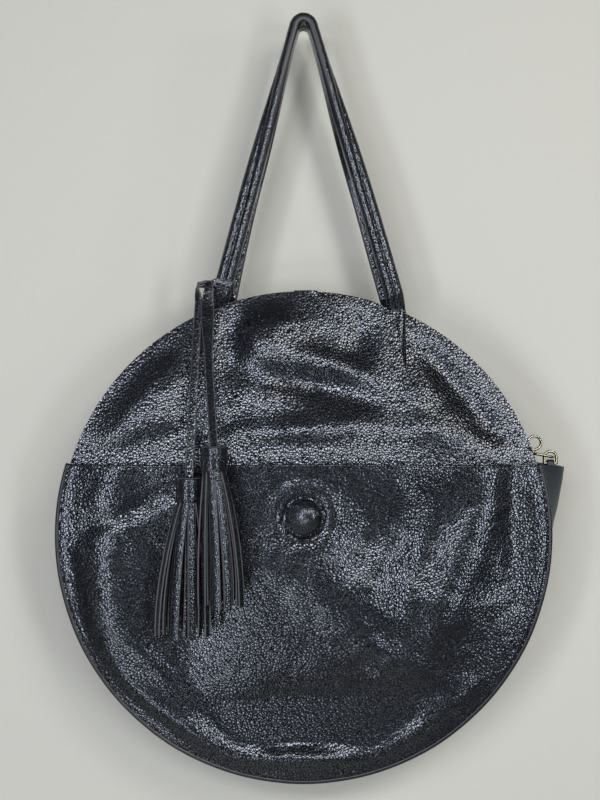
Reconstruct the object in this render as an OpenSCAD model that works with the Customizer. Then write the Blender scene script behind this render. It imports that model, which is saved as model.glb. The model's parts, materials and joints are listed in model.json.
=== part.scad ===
// Round leather shoulder bag, hung by its two handles.
// The origin is the centre of the bend where the handles hang, +Z is up and the front faces -Y.

/* [Bag body] */
// Radius of the round panels at the seam
panel_r = 200; // [185:1:215]
// Depth of the gusset between the front and back panels
gusset_w = 72; // [64:1:84]
// Height of the fold line above the centre of the round panels
fold_h = 59.5; // [50:0.5:70]
// Depth of the fold line below the hang point
hang_drop = 364.7; // [355:0.5:380]
// Height of each free top panel along its own slope
dome_rise = 145.5; // [135:0.5:155]
// Distance from the middle plane to each rim
rim_half_gap = 8.2; // [7.5:0.1:10]
// Thickness of the leather
leather_t = 1.8; // [1.4:0.1:2.2]
// Thickness of the lining cloth
lining_t = 0.8; // [0.5:0.1:1.2]
// Gap left between pieces that move past each other
running_gap = 0.3; // [0.2:0.05:0.4]

/* [Gusset ends] */
// How far the right end of the gusset folds outward
right_flare = 28; // [20:1:34]
// How far the left end of the gusset folds outward
left_flare = 5; // [2:0.5:12]
// Length of gusset over which the outward fold dies away
flare_len = 120; // [90:5:150]
// Half width of the flat ridge in the middle of the gusset
ridge_half_w = 9; // [6:0.5:12]

/* [Piping] */
// Diameter of the piping bead
piping_d = 4.2; // [3:0.1:5]
// Gap between the piping and the panel edge it is sewn to
piping_seat = 0.05; // [0.02:0.01:0.1]

/* [Pocket] */
// How far the pocket panel bulges at the middle
pocket_puff = 8; // [6:0.5:11]
// Diameter of the covered snap
snap_d = 30; // [24:0.5:34]
// Height of the covered snap
snap_h = 5.5; // [4:0.5:7]
// Depth of the snap's centre below the fold line
snap_drop = 43.6; // [35:0.5:50]
// Diameter of the magnets inside the pocket
magnet_d = 18; // [14:0.5:22]

/* [Mouth] */
// Width of the small tab folded over each rim
tab_w = 20; // [16:0.5:26]
// Length of the tab's flap on the outside
tab_flap = 4.4; // [3:0.2:7]
// Length of the tab's flap on the inside
tab_drop = 30; // [26:1:36]
// Diameter of the mouth magnets
mouth_magnet_d = 16; // [12:0.5:18]
// Distance of each strap slit from the middle
slit_x = 85.5; // [84:0.5:90]
// Width of each strap slit at the rim
slit_w = 10; // [5:0.5:11]
// Depth of each strap slit
slit_h = 52; // [40:1:60]

/* [Handles] */
// Width of the handle strap
strap_w = 15; // [13:0.5:16]
// Thickness of the handle strap
strap_t = 8; // [6.5:0.5:9]
// Gap between the two handles at their tops
strap_gap = 1; // [0.6:0.1:2]
// Radius of the bend that hangs on the hook
hang_r = 4; // [3:0.5:6]
// Height of the handles' turning line above the rim beside them
root_lift = 6.2; // [6:0.1:8]
// Thickness of the strap ends sewn inside the rim
tail_t = 5; // [3.5:0.5:5.5]
// Length of the strap ends below the rim
tail_len = 66; // [55:1:75]

/* [Tassels] */
// Diameter of the tassel caps
cap_d = 22; // [19:0.5:23]
// Height of the tassel caps
cap_h = 19.5; // [16:0.5:24]
// Length of the fringe below the cap
fringe_len = 108; // [90:1:120]
// Number of leather strips round the outside of each fringe
strip_count = 12; // [8:2:12]
// Width of one strip of the fringe
strip_w = 3.4; // [2.4:0.1:4]
// Thickness of one strip of the fringe
strip_t = 1.3; // [1:0.1:1.6]
// Width of the thongs
thong_w = 6.6; // [5:0.2:8]
// Thickness of the thongs
thong_t = 2.2; // [1.6:0.1:2.6]

/* [Ring and snap hook] */
// Wire diameter of the rings
ring_wire = 2.4; // [2:0.1:2.8]
// Radius of the ring's round top at the middle of its wire
ring_r = 5.3; // [5:0.1:6.5]
// Width of the leather tab that holds the ring
ring_tab_w = 6.4; // [5:0.1:7]
// Length of the leather tab below the ring
ring_tab_len = 17; // [16:0.5:20]
// Length of the snap hook from end to end of its wire's middle
hook_len = 18; // [17:0.5:21]
// Radius of the snap hook's round ends at the middle of its wire
hook_r = 4.3; // [4:0.1:4.6]
// Radius of the swivel eye at the middle of its wire
eye_r = 5.7; // [5:0.1:6.5]

/* [Hidden] */
$fn = 96;

leather = "#20212c";
leather_edge = "#34333a";
gusset_leather = "#16202b";
lining_cloth = "#4a4650";
pale_gold = "#c9bd98";
steel = "#a9abb0";

// Overrun of every cut
over = 10;
// How thin a lip may get
hair = 0.1;

fold_z = -hang_drop;
centre_z = fold_z - fold_h;
half_w = gusset_w / 2;
fold_y = half_w + leather_t / 2;
edge_h = fold_h - leather_t / 2 - running_gap;
fold_half = sqrt(panel_r * panel_r - fold_h * fold_h);
dome_r = (fold_half * fold_half + dome_rise * dome_rise) / (2 * dome_rise);
tilt = asin((fold_y - rim_half_gap) / dome_rise);

// Height of the rim along the slope at a distance from the middle
function rim_at(x) = sqrt(dome_r * dome_r - x * x) + dome_rise - dome_r;
// Place of a point of the sloping front, from its depth and height on the slope
function slope_y(y, z) = -fold_y + y * cos(tilt) + z * sin(tilt);
function slope_z(y, z) = fold_z - y * sin(tilt) + z * cos(tilt);

module on_slope() {
    translate([0, -fold_y, fold_z]) rotate([-tilt, 0, 0]) children();
}

// Stands a drawing up: its thickness runs from y = 0 to the front
module upright(t) {
    rotate([90, 0, 0]) linear_extrude(t) children();
}

module to_back() {
    mirror([0, 1, 0]) children();
}

function turned(faces) = [for (f = faces) [for (i = [len(f) - 1:-1:0]) f[i]]];
function moved(faces, by) = [for (f = faces) [for (i = f) i + by]];
// Solid skin over rings of points; caps lists the faces that close one end
module skin(rings, caps, flip = false) {
    n = len(rings);
    m = len(rings[0]);
    sides = [for (i = [0:n - 2], j = [0:m - 1])
        let (a = i * m + j, b = i * m + (j + 1) % m)
        each [[a, b, b + m], [a, b + m, a + m]]];
    faces = concat(sides, turned(caps), moved(caps, (n - 1) * m));
    polyhedron([for (r = rings) each r], flip ? turned(faces) : faces);
}

// Lower panels: a disc cut straight just under the fold line
module lower_outline(r) {
    intersection() {
        circle(r);
        translate([-panel_r - over, -panel_r - over])
            square([2 * (panel_r + over), panel_r + over + edge_h]);
    }
}

module lower_plate(r, t, from_y) {
    translate([0, from_y, centre_z]) upright(t) lower_outline(r);
}

module front_panel() {
    color(leather) lower_plate(panel_r, leather_t, -half_w);
}

module back_panel() {
    color(leather) to_back() lower_plate(panel_r, leather_t, -half_w);
}

lining_r = panel_r - leather_t - lining_t - running_gap;

module front_lining() {
    color(lining_cloth) lower_plate(lining_r, lining_t, lining_t - half_w);
}

module back_lining() {
    color(lining_cloth) to_back() lower_plate(lining_r, lining_t, lining_t - half_w);
}

// Gusset: a band round the bottom whose ends fold outward in a blunt ridge
end_angle = asin(edge_h / panel_r);
gusset_steps = 44;
flare_power = 1.6;
droop_share = 0.12;
across = [-half_w, -(half_w + ridge_half_w) / 2, -ridge_half_w,
    ridge_half_w, (half_w + ridge_half_w) / 2, half_w];
flare_shares = [0, 0.5, 1, 1, 0.5, 0];

function fade(run) = pow(max(0, 1 - run / flare_len), flare_power);
function run_from(a) = panel_r * (end_angle - a) * PI / 180;
function flare_at(a) = right_flare * fade(run_from(a)) - left_flare * fade(run_from(-180 - a));
function gusset_point(a, inset, k) =
    let (f = flare_at(a) * flare_shares[k], r = panel_r - inset)
    [r * cos(a) + f, across[k], centre_z + r * sin(a) - droop_share * abs(f)];
function gusset_ring(a, outer, inner) = concat(
    [for (k = [0:5]) gusset_point(a, outer, k)],
    [for (k = [5:-1:0]) gusset_point(a, inner, k)]);
function gusset_angle(i) = end_angle - i * (180 + 2 * end_angle) / gusset_steps;

module gusset_band(outer, inner, flip = false) {
    skin([for (i = [0:gusset_steps]) gusset_ring(gusset_angle(i), outer, inner)],
        [for (k = [0:4]) [k, k + 1, 10 - k, 11 - k]], flip);
}

module gusset() {
    color(gusset_leather) gusset_band(0, leather_t);
}

inner_inset = leather_t + piping_seat + lining_t;

module gusset_lining() {
    color(lining_cloth) intersection() {
        gusset_band(inner_inset, leather_t + piping_seat, true);
        translate([-2 * panel_r, lining_t - half_w, centre_z - 2 * panel_r])
            cube([4 * panel_r, gusset_w - 2 * lining_t, 4 * panel_r]);
    }
}

// Piping: a bead round the seam, flat where it meets the panels
bead_share = 0.4;

module piping() {
    seat_r = panel_r + piping_seat;
    translate([0, -half_w - leather_t, centre_z]) rotate([90, 0, 0])
        rotate([0, 0, 180 - end_angle]) rotate_extrude(angle = 180 + 2 * end_angle) intersection() {
            translate([panel_r + piping_d * bead_share, 0]) circle(d = piping_d);
            translate([seat_r, -piping_d]) square([piping_d, 2 * piping_d]);
        }
}

module front_piping() {
    color(leather_edge) piping();
}

module back_piping() {
    color(leather_edge) to_back() piping();
}

// Pocket: a shallow bulging panel over the lower front, open along its straight top
pocket_steps = 10;
function puff_at(d) = pocket_puff * (1 - pow(d / panel_r, 2));
pocket_y = -half_w - leather_t;

module pocket_panel() {
    inner = [for (i = [0:pocket_steps]) let (d = panel_r * i / pocket_steps) [d, puff_at(d)]];
    outer = [for (i = [pocket_steps:-1:0]) let (d = panel_r * i / pocket_steps)
        [d, puff_at(d) + leather_t]];
    color(leather) translate([0, pocket_y, centre_z]) intersection() {
        rotate([90, 0, 0]) rotate_extrude() polygon(concat(inner, outer));
        translate([-2 * panel_r, -panel_r, -2 * panel_r])
            cube([4 * panel_r, 2 * panel_r, 2 * panel_r + edge_h]);
    }
}

snap_z = fold_z - snap_drop;
snap_puff = puff_at(abs(fold_h - snap_drop) + magnet_d / 2);
snap_face_y = pocket_y - puff_at(abs(fold_h - snap_drop)) - leather_t - hair;
magnet_t = (snap_puff - running_gap) / 2 - hair;
snap_edge_share = 0.3;

// Covered snap: a low dome with a rolled edge
module pocket_snap_cap() {
    edge = snap_h * snap_edge_share;
    crown_r = (pow(snap_d / 2 - edge, 2) + pow(snap_h - edge, 2)) / (2 * (snap_h - edge));
    color(leather) translate([0, snap_face_y, snap_z]) rotate([90, 0, 0]) rotate_extrude() {
        square([snap_d / 2 - edge, edge]);
        intersection() {
            translate([snap_d / 2 - edge, edge]) circle(edge);
            square([snap_d / 2, 2 * edge]);
        }
        intersection() {
            translate([0, snap_h - crown_r]) circle(crown_r);
            translate([0, edge]) square([snap_d / 2 - edge, snap_h]);
        }
    }
}

module magnet_disc(d, t, at) {
    translate(at) rotate([90, 0, 0]) cylinder(d = d, h = t);
}

module pocket_magnet() {
    color(steel) magnet_disc(magnet_d, magnet_t, [0, pocket_y - magnet_t - running_gap, snap_z]);
}

module panel_magnet() {
    color(steel) magnet_disc(magnet_d, magnet_t, [0, pocket_y, snap_z]);
}

// Free top panels: a dome above the fold line with a slit beside each strap
module dome_outline(r_less, low) {
    intersection() {
        translate([0, dome_rise - dome_r]) circle(dome_r - r_less);
        translate([-panel_r, low]) square([2 * panel_r, dome_rise + over]);
    }
}

module slits() {
    top = rim_at(slit_x);
    for (s = [-1, 1]) polygon([
        [s * slit_x, top - slit_h],
        [s * slit_x, top + over],
        [s * (slit_x - slit_w * (1 + over / slit_h)), top + over]]);
}

module top_panel() {
    on_slope() {
        translate([0, leather_t / 2, 0]) upright(leather_t) difference() {
            dome_outline(0, 0);
            slits();
        }
        translate([-fold_half + leather_t, 0, 0]) rotate([0, 90, 0])
            cylinder(d = leather_t, h = 2 * (fold_half - leather_t));
    }
}

module front_top_panel() {
    color(leather) top_panel();
}

module back_top_panel() {
    color(leather) to_back() top_panel();
}

// Roots of the handles: [left, right] distance from the middle
front_roots = [69, 76];
back_roots = [64, 72];
root_z = slope_z(0, rim_at(back_roots[0] - strap_w / 2)) + root_lift;
root_y = slope_y(0, dome_rise) - strap_t / 2 - leather_t / 2;
// Radius of the round end on which a handle turns, a little more than half the strap's thickness
knuckle_share = 0.55;
knuckle_r = strap_t * knuckle_share;
// Direction from the turning line in which a tail meets the handle, and half the length of that face
seat_angle = 50;
seat_half = 2;

module tail_windows(roots) {
    for (x = [-roots[0], roots[1]])
        translate([x - strap_w / 2 - running_gap, rim_at(x) - tail_len - running_gap])
            square([strap_w + 2 * running_gap, tail_len + over]);
}

module top_lining(roots) {
    on_slope() translate([0, leather_t / 2 + lining_t, 0]) upright(lining_t) difference() {
        dome_outline(leather_t, leather_t);
        tail_windows(roots);
        slits();
    }
}

module front_top_lining() {
    color(lining_cloth) top_lining(front_roots);
}

module back_top_lining() {
    color(lining_cloth) to_back() top_lining(back_roots);
}

// Strap ends sewn flat inside the rim, with a lip over it that the handle turns against
module handle_tails(roots) {
    rim_z = slope_z(-leather_t / 2, rim_at(min(roots) - strap_w / 2)) + running_gap;
    front = leather_t / 2;
    back = leather_t / 2 + tail_t;
    seat = (knuckle_r + running_gap) * [sin(seat_angle), -cos(seat_angle)] + [root_y, root_z];
    along = seat_half * [cos(seat_angle), sin(seat_angle)];
    for (x = [-roots[0], roots[1]]) {
        low = rim_at(x) - tail_len;
        step = (rim_z - slope_z(front, 0)) / cos(tilt);
        top = (seat[1] + along[1] - slope_z(back, 0)) / cos(tilt);
        outline = [
            [slope_y(front, low), slope_z(front, low)],
            [slope_y(front, step), rim_z],
            [seat[0] - along[0], rim_z],
            seat - along,
            seat + along,
            [slope_y(back, top), slope_z(back, top)],
            [slope_y(back, low), slope_z(back, low)]];
        translate([x - strap_w / 2, 0, 0]) rotate([90, 0, 90]) linear_extrude(strap_w)
            polygon(outline);
    }
}

module front_handle_tails() {
    color(leather) handle_tails(front_roots);
}

module back_handle_tails() {
    color(leather) to_back() handle_tails(back_roots);
}

// Mouth tabs: folded over the rim, hanging straight down inside, with a magnet each
mouth_magnet_t = 1.5;
tab_in_y = -running_gap / 2 - mouth_magnet_t;

module mouth_tab() {
    t = leather_t;
    top = dome_rise + piping_seat;
    out = -leather_t / 2 - piping_seat;
    low = dome_rise - tab_flap;
    inside = leather_t / 2 + lining_t + piping_seat;
    outline = [
        [slope_y(out, low), slope_z(out, low)],
        [slope_y(out - t, low), slope_z(out - t, low)],
        [slope_y(out - t, top), slope_z(out - t, top)],
        [slope_y(out, top + t), slope_z(out, top + t)],
        [tab_in_y - t / 2, slope_z(inside, top + t)],
        [tab_in_y, slope_z(inside, top)],
        [tab_in_y, slope_z(inside, top) - tab_drop],
        [tab_in_y - t, slope_z(inside, top) - tab_drop],
        [tab_in_y - t, slope_z(inside, top)],
        [slope_y(out, top), slope_z(out, top)]];
    translate([-tab_w / 2, 0, 0]) rotate([90, 0, 90]) linear_extrude(tab_w) polygon(outline);
}

module mouth_magnet() {
    z = slope_z(0, dome_rise) - tab_drop + mouth_magnet_d / 2;
    magnet_disc(mouth_magnet_d, mouth_magnet_t, [0, -running_gap / 2, z]);
}

module front_mouth_tab() {
    color(leather) mouth_tab();
}

module front_mouth_magnet() {
    color(steel) mouth_magnet();
}

module back_mouth_tab() {
    color(leather) to_back() mouth_tab();
}

module back_mouth_magnet() {
    color(steel) to_back() mouth_magnet();
}

// Handle strap: two padded ridges on a flat back, turned a quarter as it climbs
// Places round the strap's section as shares of its width and thickness, from the flat back
section_shares = [[-0.42, -0.5], [0.42, -0.5], [0.5, -0.3], [0.5, 0.2], [0.38, 0.5], [0.12, 0.5],
    [0, 0.3], [-0.12, 0.5], [-0.38, 0.5], [-0.5, 0.2], [-0.5, -0.3]];
leg_steps = 22;
// Share of each leg, from the bend, over which the strap turns
turn_share = 0.75;
// How far along a leg its curve keeps the direction it starts with, as a share of its height
lead_share = 0.33;
// Size of a leg's section as a share of the bend's, whose end it laps over
leg_share = 1.012;
strap_lap = 0.5;
top_y = -(strap_w + strap_gap) / 2;
mid_r = hang_r + strap_t / 2;

function smooth(t) = t <= 0 ? 0 : t >= 1 ? 1 : t * t * (3 - 2 * t);
function bend(p, t) = pow(1 - t, 3) * p[0] + 3 * pow(1 - t, 2) * t * p[1]
    + 3 * (1 - t) * t * t * p[2] + pow(t, 3) * p[3];
function aim(p, t) = pow(1 - t, 2) * (p[1] - p[0]) + 2 * (1 - t) * t * (p[2] - p[1])
    + t * t * (p[3] - p[2]);
// Four guide points of a leg, drawn on the right: its root and its slopes at both ends
function guide(root, top_slope, low_slope, low_y) =
    let (lead = lead_share * -root_z)
    [[mid_r * cos(top_slope), top_y, mid_r * sin(top_slope)],
     [mid_r * cos(top_slope) + lead * sin(top_slope), top_y,
         mid_r * sin(top_slope) - lead * cos(top_slope)],
     [root - lead * sin(low_slope), low_y, root_z + lead * cos(low_slope)],
     [root, low_y, root_z]];
function leg_ring(p, t) =
    let (
        here = bend(p, t),
        along = aim(p, t),
        side = cross([0, 1, 0], along),
        out = -side / norm(side),
        turn = 90 * smooth(t / turn_share),
        wide = cos(turn) * [0, 1, 0] + sin(turn) * out,
        face = cos(turn) * out - sin(turn) * [0, 1, 0])
    [for (s = section_shares) here + leg_share * (s[0] * strap_w * wide + s[1] * strap_t * face)];

module leg(root, top_slope, low_slope, low_y) {
    p = guide(root, top_slope, low_slope, low_y);
    first = leg_ring(p, 0);
    start = [for (q = first) q - strap_lap * aim(p, 0) / norm(aim(p, 0))];
    skin(concat([start], [for (i = [0:leg_steps]) leg_ring(p, i / leg_steps)]),
        [[for (i = [0:len(section_shares) - 1]) i]], true);
}

module strap_section() {
    polygon([for (s = section_shares) [mid_r + s[1] * strap_t, -s[0] * strap_w]]);
}

// slopes: [left at the bend, right at the bend, left at the root, right at the root]
module handle(roots, slopes, low_y) {
    translate([0, top_y, 0]) rotate([90, 0, 0]) rotate([0, 0, slopes[1]])
        rotate_extrude(angle = 180 - slopes[0] - slopes[1]) strap_section();
    leg(roots[1], slopes[1], slopes[3], low_y);
    mirror([1, 0, 0]) leg(roots[0], slopes[0], slopes[2], low_y);
    for (x = [-roots[0], roots[1]])
        translate([x - strap_w / 2 - piping_seat, low_y, root_z]) rotate([0, 90, 0])
            cylinder(r = knuckle_r, h = strap_w + 2 * piping_seat);
}

front_slopes = [16, 18, 15, 16];
back_slopes = [17, 18, 11, 16];

module front_handle() {
    color(leather) handle(front_roots, front_slopes, root_y);
}

module back_handle() {
    color(leather) to_back() handle(back_roots, back_slopes, root_y);
}

// Tassels: a loop round the left leg of the front handle, a hitch, two thongs and two tassels
loop_up = 11;
loop_h = 8;
loop_z = root_z + loop_up;
loop_slope = front_slopes[2];
loop_x = -front_roots[0] + loop_up * tan(loop_slope);
hitch_r = 1.5;
// Ear on the loop's front that holds the hitch
ear_w = 4;
ear_r = 3;
thong_ring_r = hitch_r + running_gap + thong_t;
hitch_y = root_y - strap_t / 2 - leather_t - running_gap - thong_ring_r;
upper_top_x = -76.5;
lower_top_x = -88.5;
hitch_end = -93;
// How far each tassel hangs out in front of the fold
upper_out = 37.1;
lower_out = 27.1;
upper_x = -70.9;
upper_y = -fold_y - upper_out;
upper_cap_z = -349.9;
lower_x = -91.3;
lower_y = -fold_y - lower_out;
lower_cap_z = -375.1;

module tassel_loop() {
    w = strap_w + 2 * leather_t;
    d = strap_t + 2 * leather_t;
    hole_w = strap_w * leg_share + 2 * running_gap;
    hole_d = strap_t * leg_share + 2 * running_gap;
    color(leather) translate([loop_x, root_y, loop_z]) difference() {
        union() {
            rotate([0, loop_slope, 0]) translate([-w / 2, -d / 2, -loop_h / 2]) cube([w, d, loop_h]);
            translate([-ear_w, hitch_y - root_y, 0]) {
                rotate([0, 90, 0]) cylinder(r = ear_r, h = ear_w);
                translate([0, 0, -ear_r / 2]) cube([ear_w, root_y - hitch_y - strap_t / 2, ear_r]);
            }
        }
        rotate([0, loop_slope, 0])
            translate([-hole_w / 2, -hole_d / 2, -over]) cube([hole_w, hole_d, 2 * over]);
        translate([-over, hitch_y - root_y, 0]) rotate([0, 90, 0])
            cylinder(r = hitch_r + piping_seat, h = 2 * over);
    }
}

module tassel_hitch() {
    color(leather_edge) translate([hitch_end, hitch_y, loop_z]) rotate([0, 90, 0])
        cylinder(r = hitch_r, h = loop_x - hitch_end);
}

// A thong: a ring round the hitch and a flat strip down to its tassel
module thong(top_x, low_x, low_y, low_z) {
    from = [top_x, hitch_y - thong_ring_r + thong_t / 2, loop_z];
    to = [low_x, low_y, low_z + running_gap];
    tip = [thong_w / 2, 0, 0];
    half = [0, thong_t / 2, 0];
    difference() {
        union() {
            translate([top_x - thong_w / 2, hitch_y, loop_z]) rotate([0, 90, 0])
                cylinder(r = thong_ring_r, h = thong_w);
            skin([
                [from - tip - half, from + tip - half, from + tip + half, from - tip + half],
                [to - tip - half, to + tip - half, to + tip + half, to - tip + half]],
                [[0, 1, 2, 3]]);
        }
        translate([top_x - thong_w, hitch_y, loop_z]) rotate([0, 90, 0])
            cylinder(r = hitch_r + running_gap, h = 2 * thong_w);
    }
}

module upper_thong() {
    color(leather) thong(upper_top_x, upper_x, upper_y, upper_cap_z);
}

module lower_thong() {
    color(leather) thong(lower_top_x, lower_x, lower_y, lower_cap_z);
}

module tassel_cap(x, y, z) {
    translate([x, y, z - cap_h]) difference() {
        cylinder(d = cap_d, h = cap_h);
        translate([0, 0, -over]) cylinder(d = cap_d - 2 * leather_t, h = cap_h + over - leather_t);
    }
}

// Fringe: a rolled band in the cap whose cut strips flare below it
// Half width, half depth and sideways drift of each fringe at its bottom
upper_reach = [17, 7.5, 8];
lower_reach = [19, 7, -4.5];
// How far out the inner strips lie, half as many as the outer ones
inner_share = 0.5;

module tassel_fringe(x, y, z, reach) {
    core_r = cap_d / 2 - leather_t - piping_seat;
    ring_d = sqrt(core_r * core_r - strip_w * strip_w / 4) - strip_t;
    core_h = cap_h - leather_t - running_gap;
    translate([x, y, z - leather_t - running_gap]) {
        translate([0, 0, -core_h]) cylinder(r = core_r, h = core_h);
        translate([0, 0, strip_w - core_h]) {
            strips(strip_count, ring_d, reach, 1);
            strips(strip_count / 2, ring_d, reach, inner_share);
        }
    }
}

module strips(count, ring_d, reach, share) {
    for (i = [0:count - 1]) {
        a = 360 * (i + 1 / 4) / count;
        dx = (reach[0] - ring_d) * share * cos(a) + reach[2];
        dy = (reach[1] - ring_d) * share * sin(a);
        long = norm([dx, dy, fringe_len]);
        translate([ring_d * share * cos(a), ring_d * share * sin(a), 0])
            rotate([0, 0, atan2(dy, dx)]) rotate([0, -acos(fringe_len / long), 0])
                rotate([0, 0, a - atan2(dy, dx)]) translate([-strip_t / 2, -strip_w / 2, -long - strip_w])
                    cube([strip_t, strip_w, long + strip_w / 2]);
    }
}

module upper_tassel_cap() {
    color(leather) tassel_cap(upper_x, upper_y, upper_cap_z);
}

module upper_tassel_fringe() {
    color(leather) tassel_fringe(upper_x, upper_y, upper_cap_z, upper_reach);
}

module lower_tassel_cap() {
    color(leather) tassel_cap(lower_x, lower_y, lower_cap_z);
}

module lower_tassel_fringe() {
    color(leather) tassel_fringe(lower_x, lower_y, lower_cap_z, lower_reach);
}

// Rings: a round top, two short legs and a straight bar held by the tab
ring_leg = ring_wire * 2;
bar_z = fold_z - ring_wire;
ring_top_z = bar_z + ring_leg;
right_ring_x = fold_half + right_flare - leather_t - lining_t - ring_r - ring_wire / 2 - running_gap;
left_ring_x = -fold_half - left_flare + leather_t + lining_t + ring_r + ring_wire + running_gap;
tab_ring_r = ring_wire / 2 + running_gap;

module wire(a, b, d) {
    way = b - a;
    translate(a) rotate([0, acos(way[2] / norm(way)), atan2(way[1], way[0])])
        cylinder(d = d, h = norm(way));
}

module d_ring() {
    rotate([90, 0, 0]) rotate_extrude(angle = 180) translate([ring_r, 0]) circle(d = ring_wire);
    for (s = [-1, 1]) {
        wire([s * ring_r, 0, -ring_leg], [s * ring_r, 0, 0], ring_wire);
        translate([s * ring_r, 0, -ring_leg]) sphere(d = ring_wire);
    }
    wire([-ring_r, 0, -ring_leg], [ring_r, 0, -ring_leg], ring_wire);
}

// Height of the tab's foot, which reaches across to the gusset's lining
foot_h = 4;
// Place across of the lining's inner face at a height, between two stations of the gusset's end
function face_x(i, j, z) =
    let (
        p = gusset_point(gusset_angle(i), inner_inset, 2),
        q = gusset_point(gusset_angle(j), inner_inset, 2))
    p[0] + (q[0] - p[0]) * (z - p[2]) / (q[2] - p[2]);

// Tab: a leather strip folded round the ring's bar and sewn inside the gusset's end
module ring_tab(x, i, j) {
    half = tab_ring_r + leather_t;
    low = bar_z - ring_tab_len;
    reach = min(abs(face_x(i, j, low)), abs(face_x(i, j, low + foot_h))) - running_gap - abs(x);
    translate([x - ring_tab_w / 2, 0, bar_z]) rotate([90, 0, 90]) linear_extrude(ring_tab_w)
        difference() {
            union() {
                circle(half);
                translate([-half, -ring_tab_len]) square([2 * half, ring_tab_len]);
            }
            circle(tab_ring_r);
        }
    translate([x > 0 ? x : x - reach, -half, low]) cube([reach, 2 * half, foot_h]);
}

module right_ring_tab() {
    color(gusset_leather) ring_tab(right_ring_x, 0, 1);
}

module left_ring_tab() {
    color(gusset_leather) ring_tab(left_ring_x, gusset_steps, gusset_steps - 1);
}

module right_ring() {
    color(pale_gold) translate([right_ring_x, 0, ring_top_z]) d_ring();
}

// The left ring hangs back against its tab
left_ring_turn = -148;

module left_ring() {
    color(pale_gold) translate([left_ring_x, 0, bar_z]) rotate([left_ring_turn, 0, 0])
        translate([0, 0, ring_leg]) d_ring();
}

// Snap hook: a long wire loop through the ring, with a sprung gate and a swivel eye
hook_tilt = 10.7;
hook_x = right_ring_x + ring_r - ring_wire - running_gap - hair;
hook_z = ring_top_z + running_gap;
gate_wire_share = 0.8;
gate_len_share = 0.85;
gate_d = ring_wire * gate_wire_share;
gate_len = (hook_len - 2 * hook_r) * gate_len_share;
eye_stem_r = 0.9;
eye_fit = 0.05;
barrel_r = 2.1;
barrel_h = 3.4;
stem_rise = 1.6;

module hook_frame() {
    translate([hook_x, 0, hook_z]) rotate([0, hook_tilt, 0]) children();
}

module hook_bow() {
    rotate([0, 0, -90]) rotate_extrude(angle = 180) translate([hook_r, 0]) circle(d = ring_wire);
}

module snap_hook() {
    right = -hook_r;
    left = hook_r - hook_len;
    stub = (right - left - gate_len) / 2 - running_gap;
    color(pale_gold) hook_frame() difference() {
        union() {
            translate([right, 0, 0]) hook_bow();
            translate([left, 0, 0]) rotate([0, 0, 180]) hook_bow();
            wire([left, hook_r, 0], [right, hook_r, 0], ring_wire);
            wire([right - stub, -hook_r, 0], [right, -hook_r, 0], ring_wire);
            wire([left, -hook_r, 0], [left + stub, -hook_r, 0], ring_wire);
            translate([-hook_len, 0, -barrel_h / 2]) cylinder(r = barrel_r, h = barrel_h);
        }
        translate([-hook_len, 0, -barrel_h]) cylinder(r = eye_stem_r + eye_fit, h = 2 * barrel_h);
    }
}

module snap_gate() {
    right = -hook_r;
    left = hook_r - hook_len;
    from = (left + right - gate_len) / 2;
    color(pale_gold) hook_frame()
        wire([from, -hook_r, 0], [from + gate_len, -hook_r, 0], gate_d);
}

module snap_eye() {
    top = barrel_h / 2 + stem_rise;
    color(pale_gold) hook_frame() translate([-hook_len, 0, 0]) {
        translate([0, 0, -barrel_h / 2 - stem_rise]) {
            cylinder(r = eye_stem_r, h = barrel_h + 2 * stem_rise);
            cylinder(r = barrel_r, h = stem_rise - running_gap);
        }
        translate([0, 0, top + eye_r]) rotate([90, 0, 0]) rotate_extrude()
            translate([eye_r, 0]) circle(d = ring_wire);
    }
}

front_panel();
back_panel();
gusset();
front_piping();
back_piping();
pocket_panel();
pocket_snap_cap();
pocket_magnet();
panel_magnet();
front_lining();
back_lining();
gusset_lining();
right_ring_tab();
left_ring_tab();
front_top_panel();
front_top_lining();
front_mouth_tab();
front_mouth_magnet();
front_handle_tails();
back_top_panel();
back_top_lining();
back_mouth_tab();
back_mouth_magnet();
back_handle_tails();
front_handle();
back_handle();
tassel_loop();
tassel_hitch();
upper_thong();
lower_thong();
upper_tassel_cap();
upper_tassel_fringe();
lower_tassel_cap();
lower_tassel_fringe();
right_ring();
left_ring();
snap_hook();
snap_gate();
snap_eye();
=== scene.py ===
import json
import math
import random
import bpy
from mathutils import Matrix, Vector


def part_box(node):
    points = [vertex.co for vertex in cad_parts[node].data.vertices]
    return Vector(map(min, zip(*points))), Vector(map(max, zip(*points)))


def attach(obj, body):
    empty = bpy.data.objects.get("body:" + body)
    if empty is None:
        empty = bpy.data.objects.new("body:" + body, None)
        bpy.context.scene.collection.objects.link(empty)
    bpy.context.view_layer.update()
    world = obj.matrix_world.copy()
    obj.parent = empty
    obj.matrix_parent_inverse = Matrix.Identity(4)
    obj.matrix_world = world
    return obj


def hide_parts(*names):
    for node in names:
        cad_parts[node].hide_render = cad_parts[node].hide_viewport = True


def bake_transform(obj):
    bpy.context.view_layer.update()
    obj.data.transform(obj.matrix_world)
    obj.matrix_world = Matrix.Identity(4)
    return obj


bl_info = {
    "name": "Round shoulder bag",
    "version": (1, 0, 0),
    "blender": (4, 5, 0),
    "location": "View3D > Sidebar > Round bag",
    "description": "Leather, lining, tassels and metal of a round shoulder bag, built round its packed frame",
    "category": "Add Mesh",
}

import bmesh
import bpy
from bpy.props import FloatProperty, FloatVectorProperty, PointerProperty
from mathutils import Matrix, Vector, noise

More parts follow.
